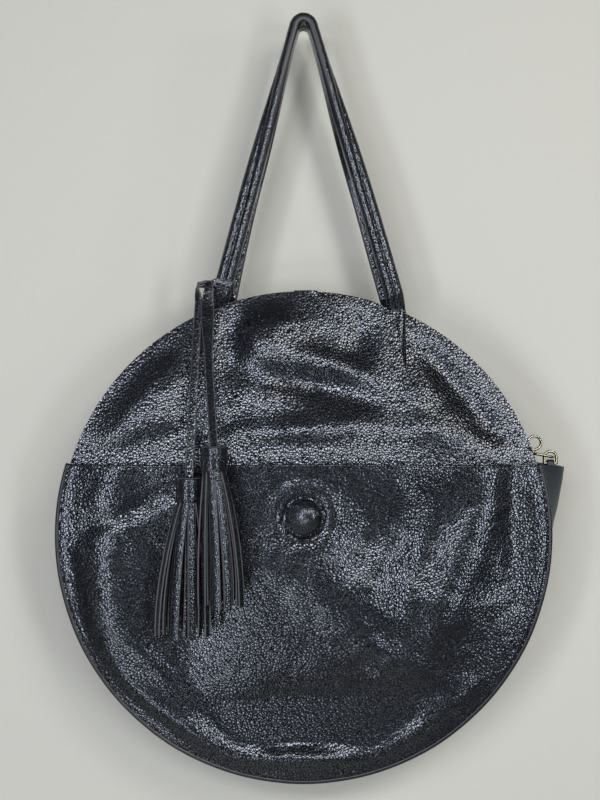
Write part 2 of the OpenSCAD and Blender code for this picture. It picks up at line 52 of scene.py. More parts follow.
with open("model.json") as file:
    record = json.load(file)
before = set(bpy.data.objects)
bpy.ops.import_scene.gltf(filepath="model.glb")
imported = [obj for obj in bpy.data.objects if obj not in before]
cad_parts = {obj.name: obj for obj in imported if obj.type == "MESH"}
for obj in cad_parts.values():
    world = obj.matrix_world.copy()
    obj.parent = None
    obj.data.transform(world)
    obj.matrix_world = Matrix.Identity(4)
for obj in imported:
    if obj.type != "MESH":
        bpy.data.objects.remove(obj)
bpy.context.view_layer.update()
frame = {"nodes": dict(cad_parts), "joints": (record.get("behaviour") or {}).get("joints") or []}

MM = 0.001
ACROSS = Vector((1, 0, 0))
BACKWARD = Vector((0, 1, 0))
UPWARD = Vector((0, 0, 1))


def joint_place(name):
    """Where a joint of the frame turns, in metres."""
    found = next(joint for joint in frame["joints"] if joint["name"] == name)
    return Vector(found["pos_m"])


# The bag's body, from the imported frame
back_low, back_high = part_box("back_panel")
PANEL_R = back_high.x
CENTRE_Z = back_low.z + PANEL_R
HALF_W = back_low.y
LEATHER = back_high.y - back_low.y
LINING = 0.8 * MM
EDGE_H = back_high.z - CENTRE_Z
END_ANGLE = math.degrees(math.asin(EDGE_H / PANEL_R))
FOLD = joint_place("front_mouth")
FOLD_H = FOLD.z - CENTRE_Z
FOLD_HALF = math.sqrt(PANEL_R**2 - FOLD_H**2)
ROOT = joint_place("front_handle_drop")
HITCH = joint_place("tassel_thong_turn")

# The free top panels above the fold
DOME_RISE = 145.5 * MM
RIM_HALF_GAP = 8.2 * MM
TILT = math.asin((abs(FOLD.y) - RIM_HALF_GAP) / DOME_RISE)
DOME_R = (FOLD_HALF**2 + DOME_RISE**2) / (2 * DOME_RISE)
FOLD_SOFTNESS = 12 * MM
SHEET_COLUMNS = 144
SHEET_ROWS = 128
# A sheet's end columns stop just short of its edge, so that they don't shrink to a point
COLUMN_REACH = 0.9999
# Points closer than this are taken as one
NEAR = 1e-6
# A handle's sewn ends hold the leather flat: how much, how far to each side, and where in front and behind
HOLD_SHARE = 0.85
HOLD_SPREAD = 17 * MM
HOLD_X = {"front": 76 * MM, "back": 68 * MM}

# The strap slits: their widths at the right (1) and at the left (-1), where the slit hangs closed
SLIT_X = 85.5 * MM
SLIT_W = {1: 10 * MM, -1: 1.2 * MM}
SLIT_H = 52 * MM
SLIT_EASE = 34 * MM

# The mouth tabs
TAB_X = 2 * MM
TAB_W = 20 * MM
TAB_FLAP = 4.4 * MM

# The pocket panel, its covered snap, and the leather round the snap as (radius, spread, height) in mm:
# a pressed groove, a lip that shows at the lower left and a soft slope at the right
PUFF = 8 * MM
LEAST_PUFF = 0.3 * MM
POCKET_COLUMNS = 170
POCKET_ROWS = 140
SNAP_R = 15 * MM
SNAP_DOME = 6.6 * MM
SNAP_STEP = 0.6 * MM
SNAP_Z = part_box("pocket_snap_cap")[0].z + SNAP_R
GROOVE = (16.4, 1.5, -1.6)
LIP = (18.8, 1.3, 1.5)
SLOPE = (25, 6, 1.1)
SNAP_LEAN = Vector((4.5 * MM, 0, 1.2 * MM))
# The roll along the pocket's top edge, the waves of its puckered seam, and the bead of its turned edge
ROLL = 2.8 * MM
ROLL_HALF = 26 * MM
PUCKER = 0.45 * MM
PUCKER_REACH = 9 * MM
PUCKER_WAVES = 46
EDGE_BEAD_R = 1.25 * MM
EDGE_BEAD_DROP = 0.9 * MM
EDGE_BEAD_STEPS = 160

# The seams' piping and the gusset's sheet
PIPING_STEPS = 260
PIPING_WOBBLE = 0.12 * MM
GUSSET_STEPS = 200
GUSSET_ACROSS = 24
GUSSET_SAG = 1.2 * MM

# The gusset's ends, which fold outward
RIGHT_FLARE = 28 * MM
LEFT_FLARE = 5 * MM
FLARE_LEN = 120 * MM
FLARE_POWER = 1.6
DROOP_SHARE = 0.12
RIDGE_HALF = 9 * MM

# The handles. A root is its distance from the middle, left and right. The slopes are those of the left
# and the right leg at the top, then of both at the root, in degrees from plumb
STRAP_W = 15 * MM
STRAP_T = 8 * MM
HANG_R = 4 * MM
STRAP_GAP = 1 * MM
HANG_MID = HANG_R + STRAP_T / 2
STRAP_Y = -(STRAP_W + STRAP_GAP) / 2
TAIL_T = 5 * MM
TAIL_LEN = 64 * MM
TAIL_TOP = 3 * MM
TAIL_SLANT = 3 * MM
LEAD_SHARE = 0.33
TURN_SHARE = 0.75
LEG_STEPS = 90
BEND_STEPS = 18
HANDLES = {
    "front": {"side": 1, "roots": (69 * MM, 76 * MM), "slopes": (16, 18, 15, 16)},
    "back": {"side": -1, "roots": (64 * MM, 72 * MM), "slopes": (17, 18, 11, 16)},
}
STITCH_PITCH = 3.6 * MM
STITCH_LEN = 2.7 * MM
STITCH_R = 0.32 * MM

# The tassels: each turn of a fringe has a number of strips and a share of the outer turn's radius
CAP_R = 11 * MM
CAP_H = 19.5 * MM
FRINGE_LEN = 105 * MM
FRINGE_T = 1.3 * MM
FRINGE_R = 7.4 * MM
FRINGE_BOW = 0.8 * MM
FRINGE_POINTS = 12
FRINGE_TURNS = ((9, 1.0), (7, 0.62), (5, 0.3))
THONG_W = 6.6 * MM
THONG_T = 2 * MM
# The thongs' loop narrows and droops where it leaves the strap, and ends in a round nose
LOOP_W = 7.6 * MM
LOOP_TAPER = 3 * MM
LOOP_DROOP = 6.4 * MM
LOOP_NOSE_R = 1.7 * MM

# How strongly the folds stand out
FOLD_GAIN = 1.4
# Soft folds of the front above the pocket's edge, as hills() reads them
UPPER_FOLDS = [
    (-30, -262, 44, 24, 90, 4.2),
    (-66, -252, 46, 15, 90, -4.0),
    (10, -303, 80, 12, -14, -2.6),
    (28, -285, 40, 9, -20, 1.6),
    (48, -262, 36, 12, 80, -2.2),
    (132, -308, 84, 13, -54, -3.0),
    (100, -330, 60, 22, -40, 2.2),
    (-128, -318, 60, 26, 50, 2.6),
    (-95, -345, 50, 14, 20, -1.8),
    (-10, -340, 90, 12, 3, 1.6),
]
# Soft folds of the pocket panel
LOWER_FOLDS = [
    (-158, -455, 90, 24, 90, 4.6),
    (-93, -480, 80, 24, 82, -3.6),
    (50, -428, 34, 18, 62, -2.4),
    (97, -436, 66, 22, 74, -3.2),
    (128, -452, 80, 20, 66, 3.2),
    (174, -404, 60, 14, 98, -2.4),
    (38, -470, 84, 34, -18, 3.8),
    (10, -570, 90, 24, 0, -4.6),
    (0, -606, 50, 9, 0, 4.2),
    (-95, -582, 50, 12, -38, 4.6),
    (95, -584, 50, 12, 38, 3.4),
    (-33, -589, 14, 5, -40, -2.6),
    (-130, -398, 50, 8, 24, -2.2),
    (66, -520, 50, 12, -30, 1.8),
    (-110, -545, 50, 12, -50, 2.2),
]

# Each thong's bight over the loop: place of its middle in mm, its width in mm, and how far it faces sideways
BIGHTS = {
    "upper": [((-79.4, -19.8, -217.5), 5.6, 1), ((-79.4, -22.4, -215.0), 6.0, 1),
              ((-79.0, -24.6, -216.5), 6.4, 1), ((-78.6, -25.8, -220.5), 7.0, 1),
              ((-79.0, -26.6, -227.0), 9.0, 1), ((-79.4, -28.0, -236.0), 10.6, 1)],
    "lower": [((-79.0, -22.6, -217.4), 4.6, 0), ((-82.6, -23.4, -215.4), 5.0, 0),
              ((-86.2, -24.0, -216.6), 5.2, 0.1), ((-88.2, -24.6, -221.0), 5.2, 0.3),
              ((-87.6, -25.2, -226.5), 5.8, 0.7), ((-86.6, -26.6, -233.0), 6.8, 1)],
}
# How a thong sways on its way down, and how far its tassel's fringe spreads, across and in depth, and drifts
TASSELS = {
    "upper": {"sway": 0.6 * MM, "reach": (17 * MM, 7.5 * MM), "drift": 7.5 * MM},
    "lower": {"sway": -2 * MM, "reach": (21 * MM, 7 * MM), "drift": -5 * MM},
}
FRINGE_SEED = 45
# How far under its bight a thong's curve is bent most
THONG_BEND = 36 * MM

# Edges over these angles, in degrees, stay sharp
SHEET_SHARP = 40
STRIP_SHARP = 50
# Which of its two materials each side of a strip's section takes: the two wide sides the first
SECTION_SIDES = [1, 1, 0, 1, 1, 1] * 2
# Share of a strip's section that its eased corners take
CORNER_SHARE = 0.7

# The camera's place, and its lens and sensor in mm
CAMERA_PLACE = (-3 * MM, -1036 * MM, -313.5 * MM)
CAMERA_LENS = 54.88
CAMERA_SENSOR = 36
# The wall and the floor, in metres
WALL_Y = 50 * MM
WALL_TOP = 2.2
WALL_HALF = 3
FLOOR_Z = -1.6
CORNER_R = 0.3
LAMP_TARGET = Vector((0, 0, -0.4))
# Each lamp's angles to the right of the camera's side and above it, distance, size, watts and colour
LAMPS = (
    ("key", 22, 24, 1.8, (0.5, 0.4), 9, "#fffdf6"),
    ("bar", -7, 17, 1.8, (1.1, 0.2), 14, "#f6f8ff"),
    ("right side", 26, -2, 1.7, (0.22, 0.6), 7, "#f2f6ff"),
    ("left side", -27, -4, 1.7, (0.22, 0.6), 7, "#f2f6ff"),
    ("low", -16, -25, 1.7, (0.6, 0.24), 4, "#f2f6ff"),
    ("far right", 58, 12, 1.7, (0.3, 0.4), 2.4, "#fffdf6"),
    ("back right", 145, 22, 1.9, (0.8, 0.8), 12, "#fffdf6"),
    ("back left", 212, 16, 1.9, (0.8, 0.8), 10, "#f2f6ff"),
)


def linear(code):
    """Turns an sRGB hex colour into Blender's linear colour."""
    shares = [int(code[i:i + 2], 16) / 255 for i in (1, 3, 5)]
    return tuple(c / 12.92 if c <= 0.04045 else ((c + 0.055) / 1.055) ** 2.4 for c in shares) + (1,)


def smooth(t):
    """Eases a share from 0 to 1."""
    t = min(max(t, 0), 1)
    return t * t * (3 - 2 * t)


def feed(tree, node, inputs):
    """Gives a node's inputs a value, or the output that feeds them."""
    for key, value in inputs.items():
        if isinstance(value, bpy.types.NodeSocket):
            tree.links.new(value, node.inputs[key])
        else:
            node.inputs[key].default_value = value


def add_node(tree, kind, settings=None, inputs=None):
    """Adds a shader node with its settings and inputs."""
    made = tree.nodes.new("ShaderNode" + kind)
    for key, value in (settings or {}).items():
        setattr(made, key, value)
    feed(tree, made, inputs or {})
    return made


def new_material(name):
    """A material with one Principled shader, with its tree, its shader and the place on the object."""
    material = bpy.data.materials.new(name)
    material.use_nodes = True
    tree = material.node_tree
    tree.nodes.clear()
    shader = add_node(tree, "BsdfPrincipled")
    add_node(tree, "OutputMaterial", None, {"Surface": shader.outputs[0]})
    return material, tree, shader, add_node(tree, "TexCoord").outputs["Object"]


def milled_leather(name, dark, light, pebble, roughness, depth):
    """Cowhide tumbled in a drum until its grain stands up in pebbles, then finished semi-gloss.

    The eye sees small bright tops between dark creases, and a slow change of tint over the hide. The creases
    are painted nearly black and set to mirror little: painted shade, standing for the shade that falls in
    them."""
    material, tree, shader, place = new_material(name)
    drift = add_node(tree, "TexNoise", None, {"Vector": place, "Scale": 0.35 / pebble, "Detail": 2})
    centred = add_node(tree, "VectorMath", {"operation": "SUBTRACT"},
                       {0: drift.outputs["Color"], 1: (0.5, 0.5, 0.5)})
    shift = add_node(tree, "VectorMath", {"operation": "SCALE"},
                     {0: centred.outputs[0], "Scale": 1.1 * pebble})
    bent = add_node(tree, "VectorMath", {"operation": "ADD"}, {0: place, 1: shift.outputs[0]})
    crease = add_node(tree, "TexVoronoi", {"feature": "DISTANCE_TO_EDGE"},
                      {"Vector": bent.outputs[0], "Scale": 1 / pebble})
    top = add_node(tree, "TexVoronoi", {"feature": "SMOOTH_F1"},
                   {"Vector": bent.outputs[0], "Scale": 1 / pebble, "Smoothness": 0.35})
    open_crease = add_node(tree, "MapRange", {"interpolation_type": "SMOOTHSTEP"},
                           {"Value": crease.outputs["Distance"], "From Max": 0.11})
    crown = add_node(tree, "MapRange", None,
                     {"Value": top.outputs["Distance"], "From Max": 0.75, "To Min": 1, "To Max": 0.66})
    pore = add_node(tree, "TexNoise", None, {"Vector": place, "Scale": 2.6 / pebble, "Detail": 3})
    height = add_node(tree, "Math", {"operation": "MULTIPLY"},
                      {0: open_crease.outputs[0], 1: crown.outputs[0]})
    fine = add_node(tree, "Math", {"operation": "MULTIPLY_ADD"},
                    {0: pore.outputs["Fac"], 1: 0.06, 2: height.outputs[0]})
    bump = add_node(tree, "Bump", None, {"Strength": 1.0, "Distance": depth, "Height": fine.outputs[0]})
    hide = add_node(tree, "TexNoise", None, {"Vector": place, "Scale": 1 / (60 * MM), "Detail": 4})
    tint = add_node(tree, "Mix", {"data_type": "RGBA"}, {0: hide.outputs["Fac"], 6: dark, 7: light})
    # Painted shade: the creases take a near-black colour, standing for the shade that falls in them
    shade = add_node(tree, "Mix", {"data_type": "RGBA"},
                     {0: open_crease.outputs[0], 6: linear("#040508"), 7: tint.outputs[2]})
    rough = add_node(tree, "MapRange", None,
                     {"Value": height.outputs[0], "To Min": roughness + 0.08, "To Max": roughness})
    # The creases also mirror little, a second stand-in for the shade in them
    shine = add_node(tree, "MapRange", None, {"Value": height.outputs[0], "To Min": 0.05, "To Max": 1})
    feed(tree, shader, {
        "Base Color": shade.outputs[2], "Roughness": rough.outputs[0], "Normal": bump.outputs[0],
        "Specular IOR Level": shine.outputs[0], "IOR": 1.6, "Specular Tint": (0.84, 0.9, 1, 1)})
    return material


def smooth_leather(name, colour, second, roughness, grain):
    """Calf or painted edge: a fine, closed surface with faint cloudy tone and a low sheen."""
    material, tree, shader, place = new_material(name)
    cloud = add_node(tree, "TexNoise", None, {"Vector": place, "Scale": 1 / (14 * MM), "Detail": 5})
    tone = add_node(tree, "Mix", {"data_type": "RGBA"}, {0: cloud.outputs["Fac"], 6: colour, 7: second})
    fine = add_node(tree, "TexNoise", None, {"Vector": place, "Scale": 1 / grain, "Detail": 3})
    rough = add_node(tree, "MapRange", None,
                     {"Value": fine.outputs["Fac"], "To Min": roughness - 0.08, "To Max": roughness + 0.1})
    bump = add_node(tree, "Bump", None,
                    {"Strength": 0.5, "Distance": 0.08 * MM, "Height": fine.outputs["Fac"]})
    feed(tree, shader, {"Base Color": tone.outputs[2], "Roughness": rough.outputs[0],
                        "Normal": bump.outputs[0], "IOR": 1.48})
    return material


def cotton_twill(name, colour, second, thread):
    """Lining twill: fine slanting ribs of spun cotton, matt, with painted shade: darker in the grooves
    between the ribs, a little lighter on top of each rib.
    """
    material, tree, shader, place = new_material(name)
    turned = add_node(tree, "Mapping", None, {"Vector": place, "Rotation": (0, math.radians(63), 0)})
    rib = add_node(tree, "TexWave", {"bands_direction": "X"},
                   {"Vector": turned.outputs[0], "Scale": 1 / (thread * 6.28), "Distortion": 0.4})
    # Painted shade: the colour follows the ribs' height, darker in the grooves between them
    tone = add_node(tree, "Mix", {"data_type": "RGBA"}, {0: rib.outputs["Fac"], 6: second, 7: colour})
    bump = add_node(tree, "Bump", None,
                    {"Strength": 0.6, "Distance": 0.12 * MM, "Height": rib.outputs["Fac"]})
    feed(tree, shader, {"Base Color": tone.outputs[2], "Normal": bump.outputs[0],
                        "Roughness": 0.9, "Sheen Weight": 0.2})
    return material


def plated_metal(name, colour, worn, roughness):
    """Zinc casting, polished and plated: bright, with hairlines and slightly duller worn patches."""
    material, tree, shader, place = new_material(name)
    wear = add_node(tree, "TexNoise", None, {"Vector": place, "Scale": 1 / (4 * MM), "Detail": 4})
    hair = add_node(tree, "TexNoise", None, {"Vector": place, "Scale": 1 / (0.4 * MM), "Detail": 2})
    tone = add_node(tree, "Mix", {"data_type": "RGBA"}, {0: wear.outputs["Fac"], 6: colour, 7: worn})
    rough = add_node(tree, "MapRange", None,
                     {"Value": wear.outputs["Fac"], "To Min": roughness - 0.08, "To Max": roughness + 0.12})
    bump = add_node(tree, "Bump", None,
                    {"Strength": 0.2, "Distance": 0.02 * MM, "Height": hair.outputs["Fac"]})
    feed(tree, shader, {"Base Color": tone.outputs[2], "Roughness": rough.outputs[0],
                        "Normal": bump.outputs[0], "Metallic": 1})
    return material


def spun_thread(name, colour, second):
    """Waxed polyester sewing thread: two tones twisted together, with a soft shine."""
    material, tree, shader, place = new_material(name)
    twist = add_node(tree, "TexNoise", None, {"Vector": place, "Scale": 1 / (0.5 * MM), "Detail": 2})
    tone = add_node(tree, "Mix", {"data_type": "RGBA"}, {0: twist.outputs["Fac"], 6: colour, 7: second})
    feed(tree, shader, {"Base Color": tone.outputs[2], "Roughness": 0.55})
    return material


def wall_paint(name):
    """Pale matt paint with a roller's faint orange peel.

    It is clear from behind, so that a view from there shows the bag."""
    material, tree, shader, place = new_material(name)
    peel = add_node(tree, "TexNoise", None, {"Vector": place, "Scale": 1 / (5 * MM), "Detail": 2})
    bump = add_node(tree, "Bump", None,
                    {"Strength": 0.6, "Distance": 0.5 * MM, "Height": peel.outputs["Fac"]})
    feed(tree, shader, {"Base Color": linear("#bebdb4"), "Roughness": 0.7, "Normal": bump.outputs[0]})
    seen = add_node(tree, "NewGeometry").outputs["Backfacing"]
    clear = add_node(tree, "BsdfTransparent")
    one_sided = add_node(tree, "MixShader", None, {0: seen, 1: shader.outputs[0], 2: clear.outputs[0]})
    feed(tree, tree.nodes["Material Output"], {"Surface": one_sided.outputs[0]})
    return material


def make_object(name, points, faces, materials, face_materials=None):
    """A smooth mesh object from points and faces, with a material for each face."""
    mesh = bpy.data.meshes.new(name)
    mesh.from_pydata([tuple(p) for p in points], [], faces)
    for material in materials:
        mesh.materials.append(material)
    if face_materials:
        mesh.polygons.foreach_set("material_index", face_materials)
    mesh.validate()
    mesh.shade_smooth()
    made = bpy.data.objects.new(name, mesh)
    bpy.context.scene.collection.objects.link(made)
    return made


def thicken(made, thickness):
    """Gives a sheet its thickness about its middle; the back and the cut edge take the next materials."""
    solid = made.modifiers.new("thickness", "SOLIDIFY")
    solid.thickness = thickness
    solid.offset = 0
    solid.use_even_offset = True
    solid.material_offset = 1
    solid.material_offset_rim = 2
    depsgraph = bpy.context.evaluated_depsgraph_get()
    final = bpy.data.meshes.new_from_object(made.evaluated_get(depsgraph))
    made.modifiers.clear()
    made.data = final
    final.set_sharp_from_angle(angle=math.radians(SHEET_SHARP))
    return made


def outward(made):
    """Turns all faces to the outside."""
    shape = bmesh.new()
    shape.from_mesh(made.data)
    bmesh.ops.recalc_face_normals(shape, faces=shape.faces)
    shape.to_mesh(made.data)
    shape.free()
    return made


def arc(radius, start, step, count):
    """Points across and up on an arc about zero, from an angle in degrees on by equal steps."""
    angles = [math.radians(start + step * k) for k in range(count)]
    return [(radius * math.cos(a), radius * math.sin(a)) for a in angles]


def turn_steps(count):
    """Cosine and sine of each step of a full turn."""
    return [(math.cos(2 * math.pi * k / count), math.sin(2 * math.pi * k / count)) for k in range(count)]


def sweep(name, rings, materials, ring_materials=None, closed=False, sharp=None):
    """A skin over rings of points. ring_materials gives each side of the ring its material."""
    count = len(rings[0])
    points = [point for ring in rings for point in ring]
    faces = []
    kinds = []
    spans = len(rings) if closed else len(rings) - 1
    for i in range(spans):
        near = i * count
        far = (i + 1) % len(rings) * count
        for j in range(count):
            k = (j + 1) % count
            faces.append((near + j, near + k, far + k, far + j))
            kinds.append(ring_materials[j] if ring_materials else 0)
    if not closed:
        faces.append(tuple(reversed(range(count))))
        faces.append(tuple(range(spans * count, len(rings) * count)))
        kinds += [0, 0]
    made = outward(make_object(name, points, faces, materials, kinds))
    if sharp:
        made.data.set_sharp_from_angle(angle=math.radians(sharp))
    return made


def path_frames(points, side):
    """Place, sideways and upward directions at each point of a path; side is one direction or one a point."""
    sides = side if isinstance(side, list) else [side] * len(points)
    frames = []
    for i, (point, toward) in enumerate(zip(points, sides)):
        along = (points[min(i + 1, len(points) - 1)] - points[max(i - 1, 0)]).normalized()
        wide = (toward - toward.dot(along) * along).normalized()
        frames.append((point, wide, wide.cross(along).normalized()))
    return frames


def flat_section(width, thickness):
    """Points of a flat strip's section with eased corners."""
    w, t = width / 2, thickness / 2
    r = min(w, t) * CORNER_SHARE
    corners = [(w - r, t - r, 0), (-w + r, t - r, 90), (-w + r, -t + r, 180), (w - r, -t + r, 270)]
    return [(x + u, y + v) for x, y, start in corners for u, v in arc(r, start, 45, 3)]


def strip(name, points, side, width, thickness, materials):
    """A flat leather strip along a path; width is one size or one a point.

    Its narrow sides take the second material."""
    widths = width if isinstance(width, list) else [width] * len(points)
    rings = []
    for (place, wide, up), w in zip(path_frames(points, side), widths):
        rings.append([place + wide * x + up * y for x, y in flat_section(w, thickness)])
    return sweep(name, rings, materials, SECTION_SIDES, sharp=STRIP_SHARP)


def tube(name, points, radius, material, sides=12, closed=False):
    """A round bead along a path."""
    rings = []
    count = len(points)
    for i, point in enumerate(points):
        if closed:
            along = points[(i + 1) % count] - points[i - 1]
        else:
            along = points[min(i + 1, count - 1)] - points[max(i - 1, 0)]
        along.normalize()
        wide = along.cross(BACKWARD if abs(along.y) < 0.9 else ACROSS).normalized()
        up = along.cross(wide)
        rings.append([point + radius * (c * wide + s * up) for c, s in turn_steps(sides)])
    return sweep(name, rings, [material], closed=closed)


def lathe(name, profile, place, material, steps=48, axis="Z"):
    """A round piece from a profile of (radius, height) points, upright or, with axis Y, facing the front."""
    rings = []
    for radius, height in profile:
        r = max(radius, 0.01 * MM)
        if axis == "Z":
            rings.append([place + Vector((r * c, r * s, height)) for c, s in turn_steps(steps)])
        else:
            rings.append([place + Vector((r * c, -height, r * s)) for c, s in turn_steps(steps)])
    return sweep(name, rings, [material], sharp=STRIP_SHARP)


def join(name, pieces):
    """Makes several objects one piece."""
    with bpy.context.temp_override(active_object=pieces[0], selected_editable_objects=pieces):
        bpy.ops.object.join()
    pieces[0].name = name
    return pieces[0]


def stitches(name, places, length, radius, material):
    """A run of sewn stitches: places are (middle, direction, outward direction)."""
    points = []
    faces = []
    sides = 6
    # Places along a stitch and the share of its radius there
    profile = [(-0.5, 0.25), (-0.36, 0.8), (0, 1), (0.36, 0.8), (0.5, 0.25)]
    for middle, along, out in places:
        along = along.normalized()
        wide = along.cross(out).normalized()
        base = len(points)
        for reach, share in profile:
            lift = out * radius * (0.5 - 2.2 * reach * reach)
            for c, s in turn_steps(sides):
                points.append(middle + along * reach * length + lift + radius * share * (c * wide + s * out))
        for i in range(len(profile) - 1):
            for k in range(sides):
                n = (k + 1) % sides
                low = base + i * sides
                faces.append((low + k, low + n, low + sides + n, low + sides + k))
        faces.append(tuple(base + k for k in reversed(range(sides))))
        faces.append(tuple(base + (len(profile) - 1) * sides + k for k in range(sides)))
    return outward(make_object(name, points, faces, [material]))


def grid_faces(columns, rows):
    """Faces of a grid whose points run up one column after the other."""
    faces = []
    for i in range(columns):
        for j in range(rows):
            a = i * (rows + 1) + j
            faces.append((a, a + rows + 1, a + rows + 2, a + 1))
    return faces


def hills(x, z, forms):
    """Height of soft folds: each is (x, z, half length, half width, turn in degrees, height) in mm."""
    total = 0
    for at_x, at_z, long, wide, turn, height in forms:
        a = math.radians(turn)
        dx, dz = x / MM - at_x, z / MM - at_z
        u = (dx * math.cos(a) + dz * math.sin(a)) / long
        v = (-dx * math.sin(a) + dz * math.cos(a)) / wide
        total += height * math.exp(-u * u - v * v)
    return FOLD_GAIN * total * MM


def wrinkle(x, z, seed, size, height):
    """Small uneven creasing of the hide."""
    return height * noise.fractal(Vector((x / size, z / size, seed)), 0.8, 2.1, 3)


def on_front(x, h, depth):
    """Point of the front leather at a distance across and a height along it, set in by depth."""
    reach = math.sqrt(h * h + FOLD_SOFTNESS**2)
    rise = (h + reach) / 2
    lean = TILT * (1 + h / reach) / 2
    y = FOLD.y + math.sin(TILT) * rise + depth * math.cos(lean)
    z = FOLD.z + h - (1 - math.cos(TILT)) * rise - depth * math.sin(lean)
    return Vector((x, y, z))


def rim_at(x):
    """Height of the rim along the leather above the fold."""
    return math.sqrt(DOME_R**2 - x * x) + DOME_RISE - DOME_R


def sheet_ends(x, inset):
    """Lowest and highest place of a front or back sheet at a distance across."""
    r = PANEL_R - inset
    low = -FOLD_H - math.sqrt(max(r * r - x * x, 0))
    if abs(x) > FOLD_HALF - inset:
        return low, -FOLD_H + math.sqrt(max(r * r - x * x, 0))
    return low, rim_at(x) - inset


def cut_slits(shape, tip):
    """Splits a flat sheet along both strap slits, from their tips up."""
    cut = []
    for edge in shape.edges:
        a, b = edge.verts
        on_slit = all(abs(abs(v.co.x) - SLIT_X) < NEAR for v in (a, b)) and a.co.x * b.co.x > 0
        if on_slit and min(a.co.z, b.co.z) > tip - 1 * MM:
            cut.append(edge)
    bmesh.ops.split_edges(shape, edges=cut)


def body_sheet(name, side, depth, inset, thickness, materials, relief):
    """Front or back leather or lining in one piece, from the bottom seam to the rim, with its slits."""
    r = PANEL_R - inset
    spread = []
    for i in range(SHEET_COLUMNS + 1):
        spread.append(r * math.sin(math.pi * (i / SHEET_COLUMNS - 0.5)) * COLUMN_REACH)
    for slit in (-SLIT_X, SLIT_X):
        nearest = min(range(len(spread)), key=lambda i: abs(spread[i] - slit))
        spread[nearest] = slit
    points = []
    for x in spread:
        low, high = sheet_ends(x, inset)
        points += [(x, 0, low + (high - low) * j / SHEET_ROWS) for j in range(SHEET_ROWS + 1)]
    made = make_object(name, points, grid_faces(SHEET_COLUMNS, SHEET_ROWS), materials)
    shape = bmesh.new()
    shape.from_mesh(made.data)
    tip = rim_at(SLIT_X) - SLIT_H
    cut_slits(shape, tip)
    for vertex in shape.verts:
        x, h = vertex.co.x, vertex.co.z
        middle = sum(abs(face.calc_center_median().x) for face in vertex.link_faces)
        middle /= max(len(vertex.link_faces), 1)
        if h > tip and middle < SLIT_X and abs(x) < SLIT_X + NEAR:
            width = SLIT_W[int(math.copysign(1, x))] * (h - tip) / SLIT_H
            share = min(max((abs(x) - SLIT_X + SLIT_EASE) / SLIT_EASE, 0), 1)
            x -= math.copysign(width * share**2, x)
        vertex.co = on_front(x, h, depth)
    for vertex in shape.verts:
        x, y, z = vertex.co
        vertex.co.y = (y - relief(x, z)) * side
    bmesh.ops.remove_doubles(shape, verts=shape.verts, dist=NEAR)
    bmesh.ops.recalc_face_normals(shape, faces=shape.faces)
    inner = next(face for face in shape.faces if abs(face.calc_center_median().x) < 5 * MM)
    if inner.normal.y * side > 0:
        bmesh.ops.reverse_faces(shape, faces=shape.faces)
    shape.to_mesh(made.data)
    shape.free()
    return thicken(made, thickness)


def by_strap(x, at, above):
    """How freely the leather folds near the sewn ends of a handle, which stiffen it above the fold."""
    return 1 - HOLD_SHARE * math.exp(-((abs(x) - at) / HOLD_SPREAD) ** 2) * above


def front_relief(x, z):
    """Folds of the front leather, dying away at its seam, rim and slits."""
    height = z - FOLD.z
    if height < 0:
        return 0
    free = smooth((PANEL_R - math.hypot(x, z - CENTRE_Z)) / (26 * MM)) * smooth(height / (30 * MM))
    hold = by_strap(x, HOLD_X["front"], smooth(height / (60 * MM)))
    folds = hills(x, z, UPPER_FOLDS) + wrinkle(x, z, 3.1, 34 * MM, 0.9 * MM)
    rim_wave = 0.8 * MM * math.sin(x / (31 * MM) + 0.6) * smooth((height - 90 * MM) / (50 * MM))
    return folds * free * hold + rim_wave * hold


def back_relief(x, z):
    """The back lies nearly flat, with a few shallow folds."""
    d = math.hypot(x, z - CENTRE_Z)
    free = smooth((PANEL_R - d) / (40 * MM))
    above = smooth((z - FOLD.z) / (60 * MM))
    belly = 2.4 * MM * (1 - (d / PANEL_R) ** 2) * (1 - above)
    hold = by_strap(x, HOLD_X["back"], above)
    return (belly + wrinkle(x, z, 8.7, 60 * MM, 1.5 * MM)) * free * hold


def pocket_y(x, z):
    """Depth of the middle of the pocket's leather."""
    d = math.hypot(x, z - CENTRE_Z)
    from_seam = PANEL_R - d
    puff = PUFF * max(0, 1 - (d / PANEL_R) ** 2)
    # Round the snap: the lip shows at its lower left, the slope everywhere else
    from_snap = math.hypot(x, z - SNAP_Z)
    angle = math.atan2(z - SNAP_Z, x)
    low_left = smooth(1.25 * math.cos((angle - math.radians(225)) / 2) ** 2 - 0.25)
    groove, lip, slope = [height * math.exp(-((from_snap - radius * MM) / (spread * MM)) ** 2)
                          for radius, spread, height in (GROOVE, LIP, SLOPE)]
    by_snap = smooth((from_snap - 8 * MM) / (16 * MM))
    relief = (hills(x, z, LOWER_FOLDS) + wrinkle(x, z, 5.3, 30 * MM, 0.8 * MM)) * by_snap
    relief += (groove + lip * low_left + slope * (1 - low_left)) * MM
    # A roll along the top edge, and the pucker of the seam
    from_edge = (z - CENTRE_Z - EDGE_H) / ROLL_HALF
    relief += ROLL * math.exp(-from_edge * from_edge) * smooth(from_seam / (50 * MM))
    pucker = PUCKER * math.sin(math.atan2(z - CENTRE_Z, x) * PUCKER_WAVES)
    relief += pucker * math.exp(-((from_seam / PUCKER_REACH) ** 2))
    # The leather stays in front of the panel behind it
    over = puff + relief * smooth(from_seam / (18 * MM)) - LEAST_PUFF
    total = LEAST_PUFF + (over + math.sqrt(over ** 2 + (2 * LEAST_PUFF) ** 2)) / 2
    return -(HALF_W + LEATHER + LEATHER / 2 + total * smooth(from_seam / (3 * MM)))


def edge_line(x):
    """Height of the pocket's top edge: nearly straight, with a little slack."""
    return CENTRE_Z + EDGE_H + 0.5 * MM * math.sin(x / (38 * MM) + 1.1) - 0.3 * MM


